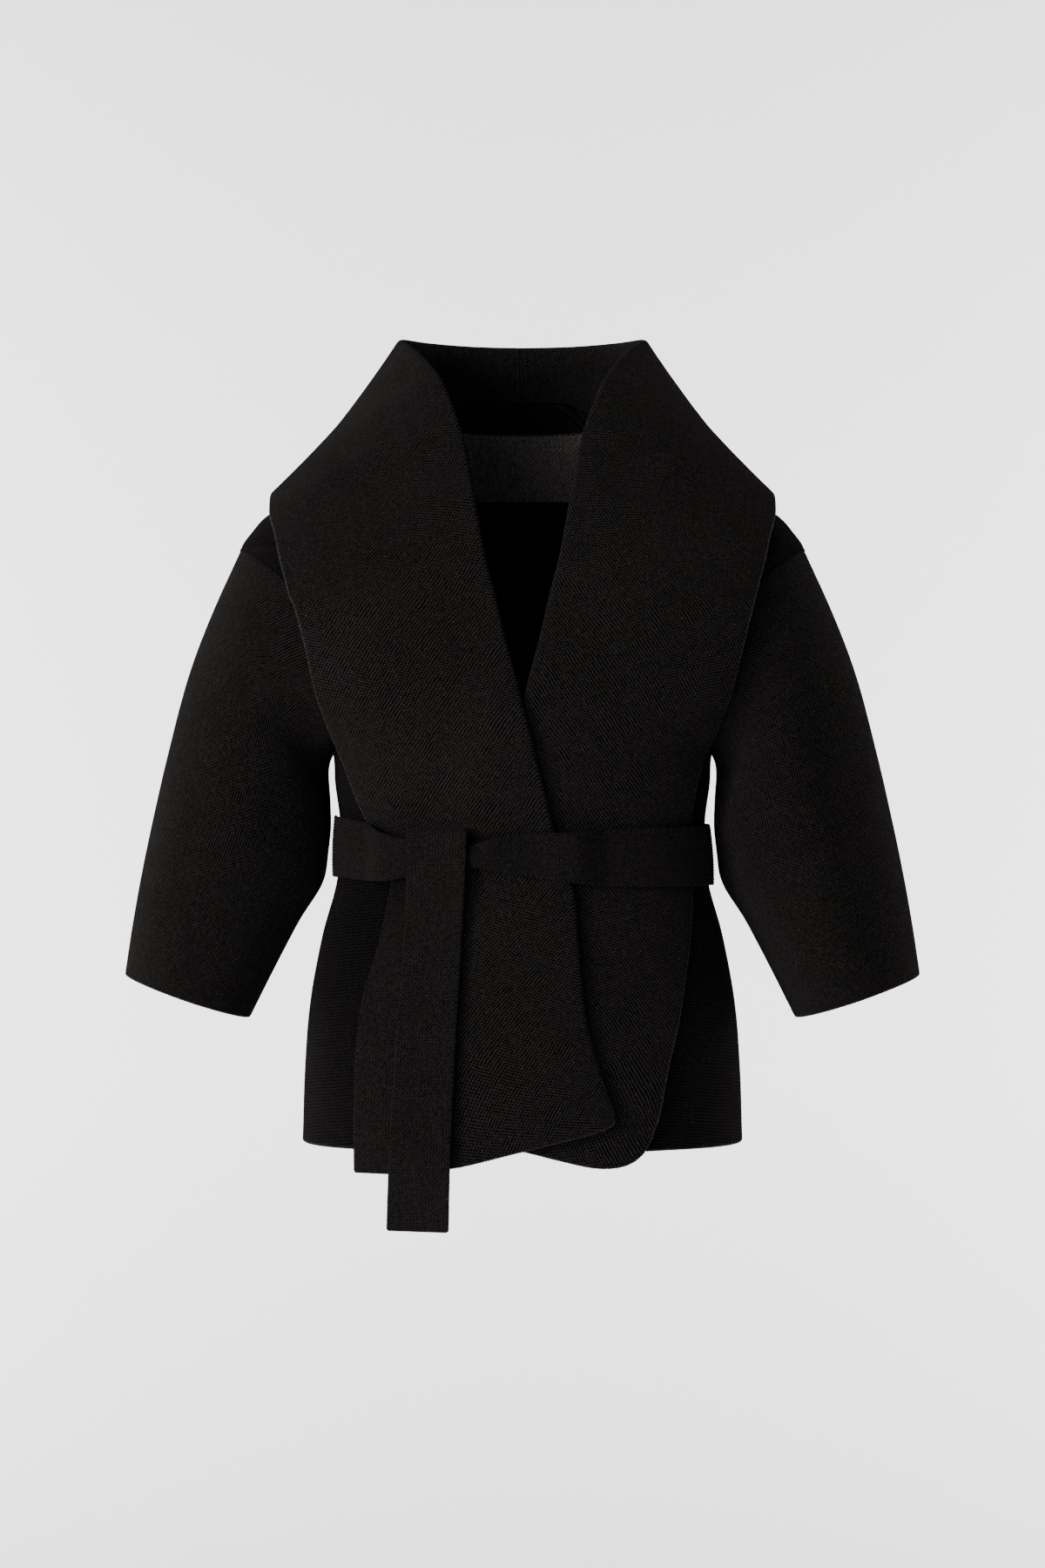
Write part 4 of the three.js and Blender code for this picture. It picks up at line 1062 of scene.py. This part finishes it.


# Each pair runs from the painted shade of the stitch valleys (low) to the painted highlight on the stitch
# crests (high).
LOW, HIGH = (0.0003, 0.00027, 0.00026), (0.0165, 0.0149, 0.014)
# Painted shade: the panel and sleeve copies of the same black knit are painted darker than the collar's, for
# the shade on the body's sides and on the sleeves.
PANEL_SHADED_HIGH = (0.0062, 0.0056, 0.0053)
SLEEVE_SHADED_HIGH = (0.0137, 0.0124, 0.0116)
BELT_LOW, BELT_HIGH = (0.0009, 0.0008, 0.0008), (0.0138, 0.0126, 0.0119)
# Painted light: the neck band's copy of the same black knit is painted several times lighter, for the light
# that falls on it.
BAND_LIT_LOW, BAND_LIT_HIGH = (0.007, 0.0064, 0.0061), (0.073, 0.068, 0.0647)
EDGE_LOW, EDGE_HIGH = (0.002, 0.0019, 0.0018), (0.0125, 0.0115, 0.0108)
DIAGONAL = [(2.5, 73, 0.9), (2.5, 137, 1.1)]
LEVEL_ROWS = [(2.5, 84, 1.1), (2.5, 36, 0.7)]
RIB_STITCHES = [(2.0, 90, 0.9), (3.1, 40, 0.5)]
PANEL = knit_material("knit_panel", LOW, PANEL_SHADED_HIGH, [(2.9, 84, 1.0), (2.6, 140, 0.9)])
LAPEL_KNIT = knit_material("knit_lapel", LOW, HIGH, DIAGONAL, stand=(-0.05, -0.08))
SLEEVE_KNIT = knit_material("knit_sleeve", LOW, SLEEVE_SHADED_HIGH, LEVEL_ROWS)
BELT_KNIT = knit_material("knit_belt", BELT_LOW, BELT_HIGH, RIB_STITCHES, depth=0.5)
BAND_KNIT = knit_material("knit_band", BAND_LIT_LOW, BAND_LIT_HIGH, RIB_STITCHES, depth=0.5, sheen=0.2)
EDGE_KNIT = knit_material("knit_edge", EDGE_LOW, EDGE_HIGH, RIB_STITCHES, depth=0.4, sheen=0.2)


# Pieces
def dress(obj, node):
    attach(obj, "root")
    if node:
        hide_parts(node)
    return obj


back_shares = [k / (BACK_COLUMNS * FINE) for k in range(-BACK_COLUMNS * FINE, BACK_COLUMNS * FINE + 1)]
front_shares = [k / (FRONT_COLUMNS * FINE) for k in range(FRONT_COLUMNS * FINE + 1)]
back_inner, back_outer = panel_grids(back_place, back_shares)
back = dress(closed_wall("coat_back", back_inner, back_outer, PANEL), "back")
EXTRA["coat_back_hem"] = [mix(a, b, 0.5) for a, b in zip(back_inner[0], back_outer[0])]
for word, side in (("right", -1), ("left", 1)):
    inner, outer = panel_grids(functools.partial(front_place, side), front_shares)
    EXTRA[f"coat_front_{word}_hem"] = [mix(a, b, 0.5) for a, b in zip(inner[0], outer[0])]
    dress(closed_wall("coat_front_" + word, inner, outer, PANEL), "front_" + word)
sleeves = {
    word: dress(make_sleeve("coat_sleeve_" + word, side, SLEEVE_KNIT), "sleeve_" + word)
    for word, side in (("right", -1), ("left", 1))
}
collars = {
    word: dress(make_collar("coat_collar_" + word, side, LAPEL_KNIT), "collar_" + word)
    for word, side in (("right", -1), ("left", 1))
}
band = dress(make_neck_band(BAND_KNIT), "neck_band")
waist = dress(make_belt_ring(BELT_KNIT), "belt_waist")
over_tail = dress(make_over_tail(BELT_KNIT), "belt_over_tail")
under_tail = dress(make_under_tail(BELT_KNIT), "belt_under_tail")

trims = {}


def edge_trim(owner, key, radius, pitch, material=EDGE_KNIT):
    obj = beaded_cord("trim_" + key, EXTRA[key], radius, pitch, material)
    trims.setdefault(owner, []).append(dress(obj, None))


for word, side in (("right", -1), ("left", 1)):
    edge_trim("collar_" + word, f"coat_collar_{word}_edge", 1.5, 2.6)
    edge_trim("collar_" + word, f"coat_collar_{word}_hem", 1.5, 2.6)
    edge_trim("collar_" + word, f"coat_collar_{word}_back_seam", 0.9, 2.4, LAPEL_KNIT)
    edge_trim("sleeve_" + word, f"coat_sleeve_{word}_cuff", 1.4, 2.6)
    armhole = armhole_section(side, CLOTH - 0.3)
    EXTRA[f"armhole_{word}"] = armhole + armhole[:1]
    edge_trim("sleeve_" + word, f"armhole_{word}", 0.9, 2.4, PANEL)
    edge_trim("front_" + word, f"coat_front_{word}_hem", 1.5, 2.6)
edge_trim("back", "coat_back_hem", 1.5, 2.6)
edge_trim("belt_waist", "belt_waist_low", 1.2, 2.4, BELT_KNIT)
edge_trim("belt_waist", "belt_waist_top", 1.2, 2.4, BELT_KNIT)
for tail in ("belt_over_tail", "belt_under_tail"):
    for key in ("_left", "_right", "_end"):
        edge_trim(tail, tail + key, 1.2, 2.4, BELT_KNIT)
edge_trim("band", "neck_band_top", 1.3, 2.6)


# Stage, light and camera
def stage_material():
    material, tree = new_material("pale_backdrop")
    shader = tree.nodes["Principled BSDF"]
    shader.inputs["Base Color"].default_value = (0.78, 0.775, 0.778, 1)
    shader.inputs["Roughness"].default_value = 1.0
    shader.inputs["Specular IOR Level"].default_value = 0.0
    return material


FLOOR_Z, WALL_Y, STAGE_HALF, CURVE = -1900, 3900, 6000, 900


def make_stage():
    """Pale floor that curves up into a pale backdrop."""
    profile = [(-6500, FLOOR_Z), (WALL_Y - CURVE, FLOOR_Z)]
    for k in range(1, 13):
        angle = math.pi / 2 * k / 12
        profile.append((WALL_Y - CURVE + CURVE * math.sin(angle), FLOOR_Z + CURVE * (1 - math.cos(angle))))
    profile.append((WALL_Y, 3600))
    points, faces, corners = [], [], []
    for y, z in profile:
        points += [Vector((-STAGE_HALF, y, z)), Vector((STAGE_HALF, y, z))]
    for k in range(len(profile) - 1):
        faces.append([2 * k, 2 * k + 1, 2 * k + 3, 2 * k + 2])
        corners.append([(0, 0), (1, 0), (1, 1), (0, 1)])
    obj = mesh_object("stage_sweep", points, faces, corners, stage_material())


def area_light(name, place, target, size, energy, colour=(1, 1, 1)):
    data = bpy.data.lights.new(name, "AREA")
    data.shape = "RECTANGLE"
    data.size, data.size_y = size
    data.energy = energy
    data.color = colour
    lamp = bpy.data.objects.new(name, data)
    bpy.context.scene.collection.objects.link(lamp)
    lamp.visible_camera = False
    lamp.location = place
    lamp.rotation_euler = (Vector(target) - Vector(place)).to_track_quat("-Z", "Y").to_euler()


make_stage()
area_light("key", (-3.3, -3.0, 0.45), (0, -0.1, -0.35), (1.2, 1.6), 205)
area_light("front", (-1.7, -3.9, -0.2), (0, -0.1, -0.4), (2.0, 2.0), 80)
area_light("top", (0.0, -0.4, 2.6), (0, -0.1, -0.3), (2.4, 1.6), 8)
area_light("wall_left", (-3.8, 1.5, -0.3), (-0.4, 3.9, -0.3), (1.6, 3.0), 490)
area_light("wall_right", (3.8, 1.5, -0.3), (0.4, 3.9, -0.3), (1.6, 3.0), 490)

world = bpy.data.worlds.new("studio")
bpy.context.scene.world = world
world.use_nodes = True
world.node_tree.nodes["Background"].inputs["Color"].default_value = (0.95, 0.95, 0.96, 1)
world.node_tree.nodes["Background"].inputs["Strength"].default_value = 0.32

# The photograph's frame: 1476 mm high at 3 m, straight on
CAMERA_BACK, FRAME_HEIGHT, SENSOR = 3000, 1476, 36
camera_data = bpy.data.cameras.new("photo_camera")
camera_data.sensor_fit = "VERTICAL"
camera_data.sensor_height = SENSOR
camera_data.lens = SENSOR * CAMERA_BACK / FRAME_HEIGHT
camera = bpy.data.objects.new("photo_camera", camera_data)
bpy.context.scene.collection.objects.link(camera)
camera.location = (0, -3.1, -0.37)
camera.rotation_euler = (math.pi / 2, 0, 0)
bpy.context.scene.camera = camera
